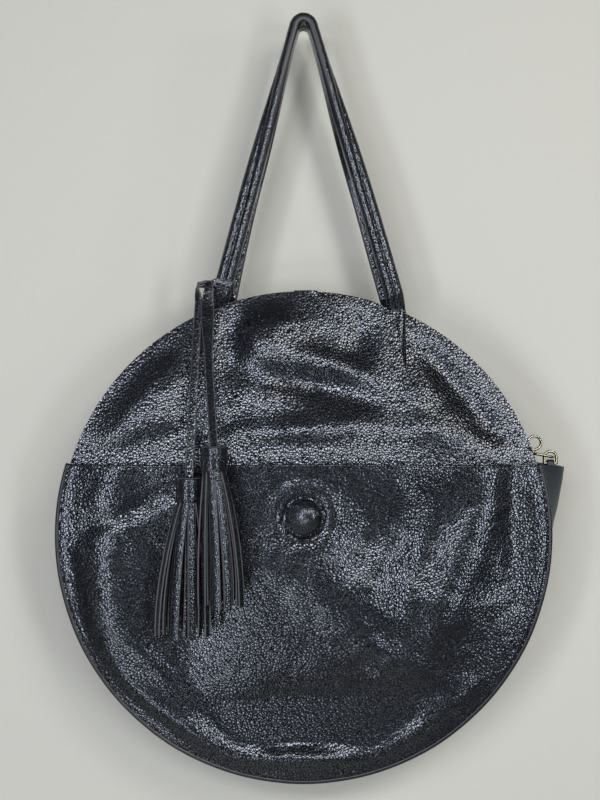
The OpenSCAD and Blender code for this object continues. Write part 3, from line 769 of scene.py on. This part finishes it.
def pocket_sheet(materials):
    """The pocket panel, with the leather turned over along its top edge."""
    points = []
    for i in range(POCKET_COLUMNS + 1):
        across = 2 * i / POCKET_COLUMNS - 1
        x = PANEL_R * math.sin(math.pi / 2 * (0.45 * across + 0.55 * across**3)) * COLUMN_REACH
        reach = math.sqrt(PANEL_R**2 - x * x)
        low = CENTRE_Z - reach
        high = min(edge_line(x), CENTRE_Z + reach)
        for j in range(POCKET_ROWS + 1):
            z = low + (high - low) * j / POCKET_ROWS
            points.append(Vector((x, pocket_y(x, z), z)))
    made = make_object("pocket_leather", points, grid_faces(POCKET_COLUMNS, POCKET_ROWS), materials)
    if made.data.polygons[0].normal.y > 0:
        made.data.flip_normals()
    thicken(made, LEATHER)
    half = math.sqrt(PANEL_R**2 - EDGE_H**2) - 1 * MM
    run = []
    for i in range(EDGE_BEAD_STEPS + 1):
        x = -half + 2 * half * i / EDGE_BEAD_STEPS
        z = edge_line(x) - EDGE_BEAD_DROP
        run.append(Vector((x, pocket_y(x, z), z)))
    return made, tube("pocket_edge_bead", run, EDGE_BEAD_R, materials[0])


def snap_cover(material):
    """The snap's round cover; the snap sits askew under it, so its top leans to the right and a little up."""
    low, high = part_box("pocket_snap_cap")
    leather_y = pocket_y(0, SNAP_Z) - LEATHER / 2
    seat = Vector((0, high.y + SNAP_STEP, SNAP_Z))
    if seat.y < leather_y:
        seat.y = leather_y + SNAP_STEP
    ball = (SNAP_R * SNAP_R + SNAP_DOME * SNAP_DOME) / (2 * SNAP_DOME)
    profile = [(0, 0), (SNAP_R - 1.2 * MM, 0), (SNAP_R - 0.2 * MM, 0.5 * MM)]
    for k in range(13):
        at = SNAP_R * (1 - k / 12)
        profile.append((at, math.sqrt(ball * ball - at * at) - ball + SNAP_DOME + 1.2 * MM))
    cap = lathe("snap_cover", profile, seat, material, 64, "Y")
    for vertex in cap.data.vertices:
        lift = max(0, (seat.y - vertex.co.y) / SNAP_DOME - 0.15)
        vertex.co += SNAP_LEAN * lift
    return cap


def seam_arc(radius, y, first, last):
    """Points round the bottom seam from one angle to another, in degrees from the right."""
    run = []
    for i in range(PIPING_STEPS + 1):
        a = math.radians(first + (last - first) * i / PIPING_STEPS)
        r = radius + PIPING_WOBBLE * math.sin(a * 17) * math.sin(a * 5)
        run.append(Vector((r * math.cos(a), y, CENTRE_Z + r * math.sin(a))))
    return run


def gusset_point(a, y, inset):
    """Point of the gusset at an angle in degrees and a place across, set in from the seam."""
    def fade(run):
        return max(0, 1 - run / FLARE_LEN) ** FLARE_POWER
    right = RIGHT_FLARE * fade(PANEL_R * math.radians(END_ANGLE - a))
    left = LEFT_FLARE * fade(PANEL_R * math.radians(a + 180 + END_ANGLE))
    share = min(max((HALF_W - abs(y)) / (HALF_W - RIDGE_HALF), 0), 1)
    flare = (right - left) * (0.65 * share + 0.35 * smooth(share))
    r = PANEL_R - inset
    bend = math.radians(a)
    droop = DROOP_SHARE * abs(flare)
    return Vector((r * math.cos(bend) + flare, y, CENTRE_Z + r * math.sin(bend) - droop))


def gusset_sheet(name, inset, margin, thickness, materials, sag):
    """The band round the bottom between the two seams, with its ends folded outward."""
    points = []
    for i in range(GUSSET_STEPS + 1):
        a = END_ANGLE - i * (180 + 2 * END_ANGLE) / GUSSET_STEPS
        middle = smooth((END_ANGLE - a) / 12) * smooth((a + 180 + END_ANGLE) / 12)
        for j in range(GUSSET_ACROSS + 1):
            y = (HALF_W - margin) * (2 * j / GUSSET_ACROSS - 1)
            hollow = sag * (1 - (y / HALF_W) ** 2) * (0.6 + 0.4 * math.sin(math.radians(a) * 9))
            slack = wrinkle(math.radians(a) * PANEL_R, y, 2.2, 28 * MM, 0.5 * MM) * (sag > 0)
            points.append(gusset_point(a, y, inset + (hollow + slack) * middle))
    made = make_object(name, points, grid_faces(GUSSET_STEPS, GUSSET_ACROSS), materials)
    lowest = made.data.polygons[(GUSSET_STEPS // 2) * GUSSET_ACROSS + GUSSET_ACROSS // 2]
    if lowest.normal.z > 0:
        made.data.flip_normals()
    return thicken(made, thickness)


def on_curve(guide, t):
    """Place on a smooth curve with four guide points, at a share of its length."""
    a, b, c, d = guide
    return (1 - t)**3 * a + 3 * (1 - t)**2 * t * b + 3 * (1 - t) * t * t * c + t**3 * d


def leg_guide(root, top_slope, low_slope):
    """Guide points of a leg's curve, drawn on the right of the front."""
    top = math.radians(top_slope)
    low = math.radians(low_slope)
    lead = LEAD_SHARE * -ROOT.z
    x, z = HANG_MID * math.cos(top), HANG_MID * math.sin(top)
    return [
        Vector((x, STRAP_Y, z)),
        Vector((x + lead * math.sin(top), STRAP_Y, z - lead * math.cos(top))),
        Vector((root - lead * math.sin(low), ROOT.y, ROOT.z + lead * math.cos(low))),
        Vector((root, ROOT.y, ROOT.z))]


def leg_frame(guide, t):
    """Place, sideways and face directions of the strap along a leg; it turns a quarter as it climbs."""
    a, b, c, d = guide
    along = (1 - t)**2 * (b - a) + 2 * (1 - t) * t * (c - b) + t * t * (d - c)
    out = -BACKWARD.cross(along).normalized()
    turn = math.radians(90) * smooth(t / TURN_SHARE)
    wide = math.cos(turn) * BACKWARD + math.sin(turn) * out
    face = math.cos(turn) * out - math.sin(turn) * BACKWARD
    return on_curve(guide, t), wide, face, 1


def tail_frames(root, low_slope):
    """The strap below its root: it passes over the rim and down inside, sewn flat."""
    top_h = rim_at(root) - TAIL_TOP
    inner = LEATHER / 2 + LINING * 0.4 + TAIL_T / 2
    first = Vector((root, ROOT.y, ROOT.z))
    lean = math.radians(low_slope)
    guide = [
        first,
        first + Vector((math.sin(lean), 0, -math.cos(lean))) * 4.5 * MM,
        on_front(root + TAIL_SLANT * 0.7, top_h + 5 * MM, inner),
        on_front(root + TAIL_SLANT, top_h, inner)]
    frames = []
    for i in range(1, 11):
        t = i / 10
        turn = lean * (1 - smooth(t))
        wide = Vector((math.cos(turn), 0, math.sin(turn)))
        face = Vector((0, -math.cos(TILT * t), math.sin(TILT * t)))
        frames.append((on_curve(guide, t), wide, face, 1 + (TAIL_T / STRAP_T - 1) * smooth(t)))
    face = Vector((0, -math.cos(TILT), math.sin(TILT)))
    for i in range(1, 9):
        place = on_front(root + TAIL_SLANT * (1 - i / 8), top_h - i / 8 * (TAIL_LEN - TAIL_TOP), inner)
        frames.append((place, ACROSS, face, TAIL_T / STRAP_T))
    return frames


def mirrored(frames, mirror):
    """A strap's frames seen in a mirror: a factor for each axis."""
    return [tuple(v * Vector(mirror) for v in item[:3]) + (item[3],) for item in frames]


def strap_frames(handle):
    """All places of a handle from its left end inside the bag, over the bend and down to the right end."""
    slopes = handle["slopes"]
    legs = []
    for root, top, low in zip(handle["roots"], slopes[:2], slopes[2:]):
        guide = leg_guide(root, top, low)
        leg = [leg_frame(guide, i / LEG_STEPS) for i in range(LEG_STEPS + 1)]
        legs.append(leg + tail_frames(root, low))
    frames = mirrored(reversed(legs[0]), (-1, 1, 1))
    for i in range(1, BEND_STEPS):
        a = math.radians(180 - slopes[0] - (180 - slopes[0] - slopes[1]) * i / BEND_STEPS)
        out = Vector((math.cos(a), 0, math.sin(a)))
        frames.append((HANG_MID * out + Vector((0, STRAP_Y, 0)), BACKWARD, out, 1))
    frames += legs[1]
    return frames if handle["side"] > 0 else mirrored(frames, (1, -1, 1))


def strap_outline():
    """Section of the strap as shares of its width and thickness, with each side's material."""
    outline = [(-0.40, -0.5, 0), (0, -0.5, 0), (0.40, -0.5, 0), (0.46, -0.47, 1), (0.495, -0.4, 1),
               (0.5, -0.1, 1), (0.495, 0.1, 1)]
    count = 20
    for i in range(count + 1):
        s = 0.47 - 0.94 * i / count
        k = abs(s) / 0.47
        ridge = 0.3 - 0.1 * k + 0.25 * math.sin(math.pi * k) ** 0.6
        outline.append((s, ridge, 0))
    outline += [(-0.495, 0.1, 1), (-0.5, -0.1, 1), (-0.495, -0.4, 1), (-0.46, -0.47, 1)]
    return outline


def build_handle(name, handle, materials, thread):
    """A padded strap with two ridges and a sewn groove between them, and its stitches."""
    frames = strap_frames(handle)
    outline = strap_outline()
    rings = []
    for i, (place, wide, face, share) in enumerate(frames):
        swell = 1 + 0.02 * math.sin(i * 1.7) + 0.015 * math.sin(i * 0.61)
        ring = []
        for s, t, _ in outline:
            thick = t * share * (swell if t > 0 else 1)
            ring.append(place + wide * s * STRAP_W + face * thick * STRAP_T)
        rings.append(ring)
    made = sweep(name, rings, materials, [kind for _, _, kind in outline])
    run = []
    travelled = 0
    for a, b in zip(frames, frames[1:]):
        step = (b[0] - a[0]).length
        while travelled + step >= STITCH_PITCH * (len(run) + 1):
            t = (STITCH_PITCH * (len(run) + 1) - travelled) / step
            face = (a[2] + (b[2] - a[2]) * t).normalized()
            share = a[3] + (b[3] - a[3]) * t
            middle = a[0] + (b[0] - a[0]) * t + face * 0.3 * share * STRAP_T
            run.append((middle, b[0] - a[0], face))
        travelled += step
    return join(name, [made, stitches(name + "_stitches", run, STITCH_LEN, STITCH_R, thread)])


def tassel(name, place, reach, drift, materials):
    """Strips of one tassel's fringe, cut from a rolled band and hanging from the cap in three turns."""
    random.seed(FRINGE_SEED)
    pieces = []
    for turn, (count, share) in enumerate(FRINGE_TURNS):
        for i in range(count):
            a = 2 * math.pi * (i + 0.25 + 0.4 * turn + random.uniform(-0.1, 0.1)) / count
            out = Vector((math.cos(a), math.sin(a), 0))
            top = place + out * FRINGE_R * share - Vector((0, 0, CAP_H - 4 * MM))
            spread = random.uniform(0.9, 1.08) * (0.2 + 0.8 * share)
            low = place + Vector((
                reach[0] * out.x * spread + drift * random.uniform(0.8, 1.15),
                reach[1] * out.y * spread,
                -CAP_H - FRINGE_LEN + random.uniform(-2, 2) * MM + 3 * MM * out.y))
            side = Vector((-out.y, out.x, 0))
            curl = random.uniform(-1.2, 1.2) * MM
            run = []
            for k in range(FRINGE_POINTS + 1):
                t = k / FRINGE_POINTS
                ease = 1 - (1 - t) ** 1.7
                bow = math.sin(math.pi * t)
                point = top.lerp(low, t)
                point.x = top.x + (low.x - top.x) * ease
                point.y = top.y + (low.y - top.y) * ease
                run.append(point + side * curl * bow * t + out * FRINGE_BOW * bow)
            width = random.uniform(6.2, 6.9) * MM
            pieces.append(strip(f"{name}_{turn}_{i}", run, side, width, FRINGE_T, materials))
    return join(name, pieces)


def tassel_cap(name, place, material, rim):
    """A band of leather rolled tight over the fringe's head, its overlap at the back."""
    r = CAP_R
    h = CAP_H
    profile = [(0, -0.4 * MM), (r - 3.4 * MM, -0.3 * MM), (r - 2.2 * MM, 0), (r - 0.9 * MM, -0.1 * MM),
               (r - 0.2 * MM, -0.8 * MM), (r, -2 * MM), (r - 0.25 * MM, -h / 2), (r, -h + 1.6 * MM),
               (r - 0.3 * MM, -h + 0.3 * MM), (r - 1.4 * MM, -h), (r - 1.8 * MM, -h + 0.8 * MM),
               (r - 1.9 * MM, -h + 4 * MM), (0, -h + 4.2 * MM)]
    body = lathe(name + "_band", profile, place, material)
    edge_r = r - 0.7 * MM
    edge = [place + Vector((edge_r * c, edge_r * s, -0.4 * MM)) for c, s in turn_steps(48)]
    ring = tube(name + "_edge", edge, 0.45 * MM, rim, 8, closed=True)
    lap = [place + Vector((u, v, -h / 2)) for u, v in arc(r + 0.35 * MM, 40, 7, 9)]
    flap = strip(name + "_lap", lap, UPWARD, h - 1.2 * MM, 1.1 * MM, [material, rim])
    return join(name, [body, ring, flap])


def knot_loop(name, middle, slope, materials):
    """The thongs' loop: it goes round the strap and reaches forward to the left, growing narrower there."""
    half_w = STRAP_W / 2 + LEATHER / 2 + 0.15 * MM
    half_t = STRAP_T / 2 + LEATHER / 2 + 0.1 * MM
    corner = 3 * MM
    nose = Vector((-half_w - 9.5 * MM, -9.3 * MM))
    # Round the strap by three corners, forward to the left, round the nose and back
    ring = []
    for cx, cy, start in ((half_w - corner, -half_t + corner, -90), (half_w - corner, half_t - corner, 0),
                          (-half_w + corner, half_t - corner, 90)):
        ring += [Vector((cx + u, cy + v)) for u, v in arc(corner, start, 15, 7)]
    ring.append(Vector((-half_w - 1 * MM, -2 * MM)))
    ring.append(Vector((-half_w - 3.5 * MM, -5.6 * MM)))
    for k in range(7):
        a = math.radians(110 + 30 * k)
        ring.append(nose + LOOP_NOSE_R * Vector((math.cos(a), math.sin(a))))
    ring.append(Vector((-half_w - 3 * MM, -8.6 * MM)))
    ring.append(Vector((-half_w + 1 * MM, -half_t - 0.8 * MM)))
    ring.append(Vector((-half_w / 3, -half_t - 0.3 * MM)))
    ring.append(Vector((half_w / 3, -half_t)))
    turn = Matrix.Rotation(slope, 3, "Y")
    rings = []
    for i, flat in enumerate(ring):
        along = (ring[(i + 1) % len(ring)] - ring[i - 1]).normalized()
        out = Vector((along.y, -along.x, 0))
        beyond = smooth((-half_w + 4 * MM - flat.x) / (12 * MM))
        row = []
        for s, t in flat_section(LOOP_W - LOOP_TAPER * beyond, LEATHER):
            flat_place = Vector((flat.x, flat.y, s - LOOP_DROOP * beyond))
            row.append(middle + turn @ (flat_place + out * t))
        rings.append(row)
    return sweep(name, rings, materials, SECTION_SIDES, closed=True, sharp=STRIP_SHARP)


def thong(word, place, materials):
    """One thong: its bight over the loop, then a run down to the middle of its tassel's cap."""
    bight = BIGHTS[word]
    run = [Vector(point) * MM for point, _, _ in bight]
    widths = [width * MM for _, width, _ in bight]
    sides = [Vector((t, -(1 - t), 0)).normalized() for _, _, t in bight]
    first, first_width = run[-1], widths[-1]
    bend = Vector((first.x + TASSELS[word]["sway"], first.y, first.z - THONG_BEND))
    bend.y = first.y + (place.y - first.y) * THONG_BEND / (first.z - place.z)
    for k in range(1, 25):
        t = k / 24
        run.append((1 - t) ** 2 * first + 2 * (1 - t) * t * bend + t * t * place)
        narrow = smooth((t - 0.12) / 0.4)
        widths.append(first_width * (1 - narrow) + THONG_W * narrow)
        sides.append(ACROSS)
    return strip(word + "_thong_strip", run, sides, widths, THONG_T, materials)


def mouth_tab(word, side, materials):
    """A tab folded over the middle of a rim: short outside, long inside."""
    low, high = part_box(word + "_mouth_tab")
    inner_y = (high.y if side > 0 else low.y) * side
    out = -(LEATHER / 2 + 0.1 * MM + LEATHER / 2)
    run = [on_front(0, DOME_RISE - below, out) for below in (TAB_FLAP, TAB_FLAP / 2, 0)]
    run.append(on_front(0, DOME_RISE + 0.5 * MM, -LEATHER * 0.4))
    run.append(on_front(0, DOME_RISE + 0.5 * MM, LEATHER * 0.9))
    last = on_front(0, DOME_RISE, LEATHER)
    inside = inner_y - LEATHER / 2 - 0.2 * MM
    for k in range(1, 9):
        t = k / 8
        z = last.z - t * (last.z - low.z - 0.5 * MM)
        run.append(Vector((0, last.y + (inside - last.y) * smooth(t * 3), z)))
    run = [Vector((TAB_X, p.y * side, p.z)) for p in run]
    return strip(word + "_tab", run, ACROSS, TAB_W, LEATHER * 0.5, materials)


def ring_tab(word, materials):
    """A leather tab folded over a ring's bar, with its foot sewn to the gusset's end."""
    low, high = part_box(word + "_ring_tab")
    bar = joint_place(word + "_ring_swing")
    r = 1.5 * MM + LEATHER / 2
    foot_z = low.z + 0.6 * MM
    half_z = (low.z + bar.z) / 2
    run = [Vector((bar.x, -r, foot_z)), Vector((bar.x, -r, half_z))]
    run += [Vector((bar.x, u, bar.z + v)) for u, v in arc(r, 180, -15, 13)]
    run += [Vector((bar.x, r, half_z)), Vector((bar.x, r, foot_z))]
    fold = strip(word + "_tab_fold", run, ACROSS, 6.2 * MM, LEATHER * 0.95, materials)
    far = high.x if word == "right" else low.x
    foot_run = [Vector((bar.x + (far - bar.x) * k / 4, 0, low.z + 2 * MM)) for k in range(5)]
    foot = strip(word + "_tab_foot", foot_run, BACKWARD, 6 * MM, 3.6 * MM, materials)
    return join(word + "_tab_fold", [fold, foot])


class RoundBagSizes(bpy.types.PropertyGroup):
    """Sizes of the leather's grain and of the beads."""
    pebble: FloatProperty(
        name="Pebble", description="Width of one raised pebble of the milled leather",
        default=2.15 * MM, min=0.5 * MM, max=8 * MM, unit="LENGTH")
    grain_depth: FloatProperty(
        name="Grain depth", description="Depth of the creases between pebbles",
        default=0.45 * MM, min=0, max=2 * MM, unit="LENGTH")
    piping: FloatProperty(
        name="Piping", description="Radius of the bead round the seams",
        default=2.05 * MM, min=1 * MM, max=2.3 * MM, unit="LENGTH")


class RoundBagColours(bpy.types.PropertyGroup):
    """Colours of the leathers, the lining and the metal."""
    leather: FloatVectorProperty(
        name="Leather", description="Darker tint of the pebbled leather",
        subtype="COLOR", size=4, default=linear("#07080c"), min=0, max=1)
    leather_light: FloatVectorProperty(
        name="Leather, light", description="Lighter tint of the pebbled leather",
        subtype="COLOR", size=4, default=linear("#0c0e15"), min=0, max=1)
    gusset: FloatVectorProperty(
        name="Gusset", description="Colour of the smooth gusset leather",
        subtype="COLOR", size=4, default=linear("#0d1620"), min=0, max=1)
    edge: FloatVectorProperty(
        name="Edges", description="Colour of the painted and cut edges",
        subtype="COLOR", size=4, default=linear("#131419"), min=0, max=1)
    lining: FloatVectorProperty(
        name="Lining", description="Colour of the cotton lining",
        subtype="COLOR", size=4, default=linear("#4a4650"), min=0, max=1)
    metal: FloatVectorProperty(
        name="Metal", description="Colour of the pale gold plating",
        subtype="COLOR", size=4, default=linear("#a8a28a"), min=0, max=1)


FINISHES = {}


def finishes():
    """The bag's materials by name, made once from the chosen sizes and colours."""
    if FINISHES:
        return FINISHES
    sizes = bpy.context.scene.round_bag_sizes
    colours = bpy.context.scene.round_bag_colours
    # Each milled leather has a share of the chosen pebble, a roughness and a share of the grain's depth
    for name, title, grain, roughness, deep in (
            ("leather", "milled cowhide", 1, 0.21, 1),
            ("cover", "milled cowhide cover", 0.6, 0.2, 0.35),
            ("strap", "milled cowhide strap", 0.85, 0.2, 0.85),
            ("fringe", "split cowhide fringe", 0.8, 0.24, 0.8)):
        FINISHES[name] = milled_leather(title, colours.leather, colours.leather_light,
                                        sizes.pebble * grain, roughness, sizes.grain_depth * deep)
    # Each smooth leather has two tones, a roughness and the size of its grain in mm
    for name, title, colour, second, roughness, grain in (
            ("calf", "smooth calf", colours.gusset, "#15222e", 0.45, 0.8),
            ("piping", "rolled calf piping", linear("#0c0d11"), "#15161c", 0.3, 0.7),
            ("flesh", "leather flesh side", linear("#1c1b20"), "#28272c", 0.82, 0.5),
            ("edge", "painted edge", colours.edge, "#1d1e24", 0.38, 0.6),
            ("cut", "cut leather edge", linear("#38383b"), "#4c4c4f", 0.55, 0.4)):
        FINISHES[name] = smooth_leather(title, colour, linear(second), roughness, grain * MM)
    # The second lining tone is painted shade, for the grooves between the twill's ribs
    FINISHES["lining"] = cotton_twill("cotton twill lining", colours.lining, linear("#3a3740"), 0.9 * MM)
    FINISHES["gold"] = plated_metal("pale gold plate", colours.metal, linear("#7c7762"), 0.22)
    FINISHES["steel"] = plated_metal("nickel steel magnet", linear("#b4b6ba"), linear("#8f9196"), 0.3)
    FINISHES["thread"] = spun_thread("waxed thread", linear("#1b1c24"), linear("#34353f"))
    return FINISHES


def put(made, slot, body, *nodes):
    """Hides the nodes a piece stands for and hangs the piece on the body it rides on; its slot, the finish's
    name, is not used.
    """
    if nodes:
        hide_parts(*nodes)
    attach(made, body)
    return made


def refinish(name, material):
    """Gives a piece of the frame that stays as it is its own material."""
    node = frame["nodes"][name]
    node.data.materials.clear()
    node.data.materials.append(material)
    return node


class ROUNDBAG_OT_body(bpy.types.Operator):
    """Builds the front and back leather, the gusset, the linings and the piping"""
    bl_idname = "roundbag.body"
    bl_label = "Bag body"

    def execute(self, context):
        mats = finishes()
        leather = [mats["leather"], mats["flesh"], mats["edge"]]
        cloth = [mats["lining"]] * 3
        inner = LEATHER / 2 + LINING / 2 + 0.1 * MM
        for side, word, relief in ((1, "front", front_relief), (-1, "back", back_relief)):
            shell = body_sheet(word + "_leather", side, 0, 0, LEATHER, leather, relief)
            lined = body_sheet(word + "_lining_cloth", side, inner, 3 * MM, LINING, cloth, relief)
            for made, slot, nodes in (
                    (shell, "pebbled_leather", (word + "_panel", word + "_top_panel")),
                    (lined, "lining_cloth", (word + "_lining", word + "_top_lining"))):
                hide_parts(*nodes)
                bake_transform(made)
            bead_r = context.scene.round_bag_sizes.piping
            run = seam_arc(PANEL_R + bead_r * 0.8, -(HALF_W + LEATHER) * side, END_ANGLE, -180 - END_ANGLE)
            bead = tube(word + "_piping_bead", run, bead_r, mats["piping"], 14)
            put(bead, "piping_leather", "bag_body", word + "_piping")
        band = gusset_sheet("gusset_band", LEATHER / 2, 0, LEATHER,
                            [mats["calf"], mats["flesh"], mats["edge"]], GUSSET_SAG)
        put(band, "gusset_leather", "bag_body", "gusset")
        lined = gusset_sheet("gusset_lining_cloth", LEATHER + LINING / 2 + 0.2 * MM, 2 * MM, LINING, cloth, 0)
        put(lined, "lining_cloth", "bag_body", "gusset_lining")
        return {"FINISHED"}


class ROUNDBAG_OT_pocket(bpy.types.Operator):
    """Builds the front pocket, its turned edge and its covered snap"""
    bl_idname = "roundbag.pocket"
    bl_label = "Front pocket"

    def execute(self, context):
        mats = finishes()
        panel, bead = pocket_sheet([mats["leather"], mats["flesh"], mats["edge"]])
        put(panel, "pebbled_leather", "bag_body", "pocket_panel")
        put(bead, "pebbled_leather", "bag_body")
        put(snap_cover(mats["cover"]), "pebbled_leather", "bag_body", "pocket_snap_cap")
        for name in ("pocket_magnet", "panel_magnet", "front_mouth_magnet", "back_mouth_magnet"):
            refinish(name, mats["steel"])
        return {"FINISHED"}


class ROUNDBAG_OT_mouth(bpy.types.Operator):
    """Builds the small tabs folded over the rims"""
    bl_idname = "roundbag.mouth"
    bl_label = "Mouth tabs"

    def execute(self, context):
        mats = finishes()
        for side, word in ((1, "front"), (-1, "back")):
            tab = mouth_tab(word, side, [mats["leather"], mats["edge"]])
            put(tab, "pebbled_leather", word + "_top", word + "_mouth_tab")
        return {"FINISHED"}


class ROUNDBAG_OT_handles(bpy.types.Operator):
    """Builds both handles, sewn inside the rims and turning a quarter as they climb"""
    bl_idname = "roundbag.handles"
    bl_label = "Handles"

    def execute(self, context):
        mats = finishes()
        for word, handle in HANDLES.items():
            made = build_handle(word + "_strap", handle, [mats["strap"], mats["edge"]], mats["thread"])
            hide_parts(word + "_handle", word + "_handle_tails")
            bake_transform(made)
        return {"FINISHED"}


class ROUNDBAG_OT_tassels(bpy.types.Operator):
    """Builds the loop, the hitch, the thongs and the two tassels"""
    bl_idname = "roundbag.tassels"
    bl_label = "Tassels"

    def execute(self, context):
        mats = finishes()
        strap = [mats["strap"], mats["cut"]]
        low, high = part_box("tassel_hitch")
        slope = math.radians(HANDLES["front"]["slopes"][2])
        middle = Vector((high.x - 1 * MM, ROOT.y, HITCH.z - 3.6 * MM))
        put(knot_loop("thong_loop", middle, slope, strap), "tassel_leather", "front_handle", "tassel_loop")
        for word, shape in TASSELS.items():
            cap_low, cap_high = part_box(word + "_tassel_cap")
            place = Vector(((cap_low.x + cap_high.x) / 2, (cap_low.y + cap_high.y) / 2, cap_high.z))
            nodes = [word + "_thong"] + (["tassel_hitch"] if word == "lower" else [])
            put(thong(word, place, strap), "tassel_leather", "tassel_thongs", *nodes)
            cap = tassel_cap(word + "_cap_band", place, *strap)
            put(cap, "tassel_leather", word + "_tassel", word + "_tassel_cap")
            fringe = tassel(word + "_fringe", place, shape["reach"], shape["drift"],
                            [mats["fringe"], mats["cut"]])
            put(fringe, "tassel_leather", word + "_tassel", word + "_tassel_fringe")
        return {"FINISHED"}


class ROUNDBAG_OT_hardware(bpy.types.Operator):
    """Finishes the rings and the snap hook and builds the leather tabs that hold the rings"""
    bl_idname = "roundbag.hardware"
    bl_label = "Rings and snap hook"

    def execute(self, context):
        mats = finishes()
        for name in ("right_ring", "left_ring", "snap_hook", "snap_gate", "snap_eye"):
            refinish(name, mats["gold"]).data.shade_smooth()
        for word in ("right", "left"):
            tab = ring_tab(word, [mats["calf"], mats["edge"]])
            put(tab, "gusset_leather", "bag_body", word + "_ring_tab")
        return {"FINISHED"}


def set_camera(scene):
    """The camera stands where the photograph was taken from, level and square to the wall."""
    camera = bpy.data.cameras.new("camera")
    camera.lens = CAMERA_LENS
    camera.sensor_width = CAMERA_SENSOR
    camera.dof.use_dof = False
    eye = bpy.data.objects.new("camera", camera)
    eye.location = CAMERA_PLACE
    eye.rotation_euler = (math.radians(90), 0, 0)
    scene.collection.objects.link(eye)
    scene.camera = eye


def build_backdrop():
    """The wall behind the bag, with a round corner down to the floor."""
    profile = [(-WALL_HALF, FLOOR_Z), (WALL_Y - CORNER_R, FLOOR_Z)]
    for k in range(1, 9):
        a = math.radians(90 * k / 8)
        profile.append((WALL_Y - CORNER_R + CORNER_R * math.sin(a), FLOOR_Z + CORNER_R * (1 - math.cos(a))))
    profile.append((WALL_Y, WALL_TOP))
    points = [(x, y, z) for y, z in profile for x in (-WALL_HALF, WALL_HALF)]
    faces = [(2 * i, 2 * i + 1, 2 * i + 3, 2 * i + 2) for i in range(len(profile) - 1)]
    wall = make_object("backdrop", points, faces, [wall_paint("pale wall paint")])
    wall.visible_shadow = False


def area_light(name, azimuth, elevation, distance, size, watts, colour):
    """A soft lamp that faces the bag, at angles in degrees to the right of the camera's side and above it."""
    lamp = bpy.data.lights.new(name, "AREA")
    lamp.shape = "RECTANGLE"
    lamp.size, lamp.size_y = size
    lamp.energy = watts
    lamp.color = linear(colour)[:3]
    a, e = math.radians(azimuth), math.radians(elevation)
    away = Vector((math.sin(a) * math.cos(e), -math.cos(a) * math.cos(e), math.sin(e)))
    made = bpy.data.objects.new(name, lamp)
    made.location = LAMP_TARGET + distance * away
    made.rotation_mode = "QUATERNION"
    made.rotation_quaternion = (-away).to_track_quat("-Z", "Y")
    made.visible_camera = False
    bpy.context.scene.collection.objects.link(made)


class ROUNDBAG_OT_stage(bpy.types.Operator):
    """Sets up the camera, the pale wall and floor and the soft lamps"""
    bl_idname = "roundbag.stage"
    bl_label = "Stage"

    def execute(self, context):
        set_camera(context.scene)
        build_backdrop()
        for lamp in LAMPS:
            area_light(*lamp)
        world = bpy.data.worlds.new("studio")
        world.use_nodes = True
        feed(world.node_tree, world.node_tree.nodes["Background"],
             {"Color": linear("#e4e9f2"), "Strength": 0.045})
        context.scene.world = world
        context.scene.view_settings.view_transform = "Standard"
        return {"FINISHED"}


class ROUNDBAG_PT_panel(bpy.types.Panel):
    """Lists the bag's sizes, colours and building steps"""
    bl_label = "Round bag"
    bl_idname = "ROUNDBAG_PT_panel"
    bl_space_type = "VIEW_3D"
    bl_region_type = "UI"
    bl_category = "Round bag"

    def draw(self, context):
        for group in (context.scene.round_bag_sizes, context.scene.round_bag_colours):
            for name in group.__annotations__:
                self.layout.prop(group, name)
        for step in STEPS:
            self.layout.operator(step.bl_idname)


STEPS = (
    ROUNDBAG_OT_stage,
    ROUNDBAG_OT_body,
    ROUNDBAG_OT_pocket,
    ROUNDBAG_OT_mouth,
    ROUNDBAG_OT_handles,
    ROUNDBAG_OT_tassels,
    ROUNDBAG_OT_hardware,
)
CLASSES = (RoundBagSizes, RoundBagColours, ROUNDBAG_PT_panel) + STEPS


def register():
    for cls in CLASSES:
        bpy.utils.register_class(cls)
    bpy.types.Scene.round_bag_sizes = PointerProperty(type=RoundBagSizes)
    bpy.types.Scene.round_bag_colours = PointerProperty(type=RoundBagColours)


def unregister():
    del bpy.types.Scene.round_bag_colours
    del bpy.types.Scene.round_bag_sizes
    for cls in reversed(CLASSES):
        bpy.utils.unregister_class(cls)


def main():
    register()
    bpy.ops.roundbag.stage()
    bpy.ops.roundbag.body()
    bpy.ops.roundbag.pocket()
    bpy.ops.roundbag.mouth()
    bpy.ops.roundbag.handles()
    bpy.ops.roundbag.tassels()
    bpy.ops.roundbag.hardware()


if __name__ == "__main__":
    main()
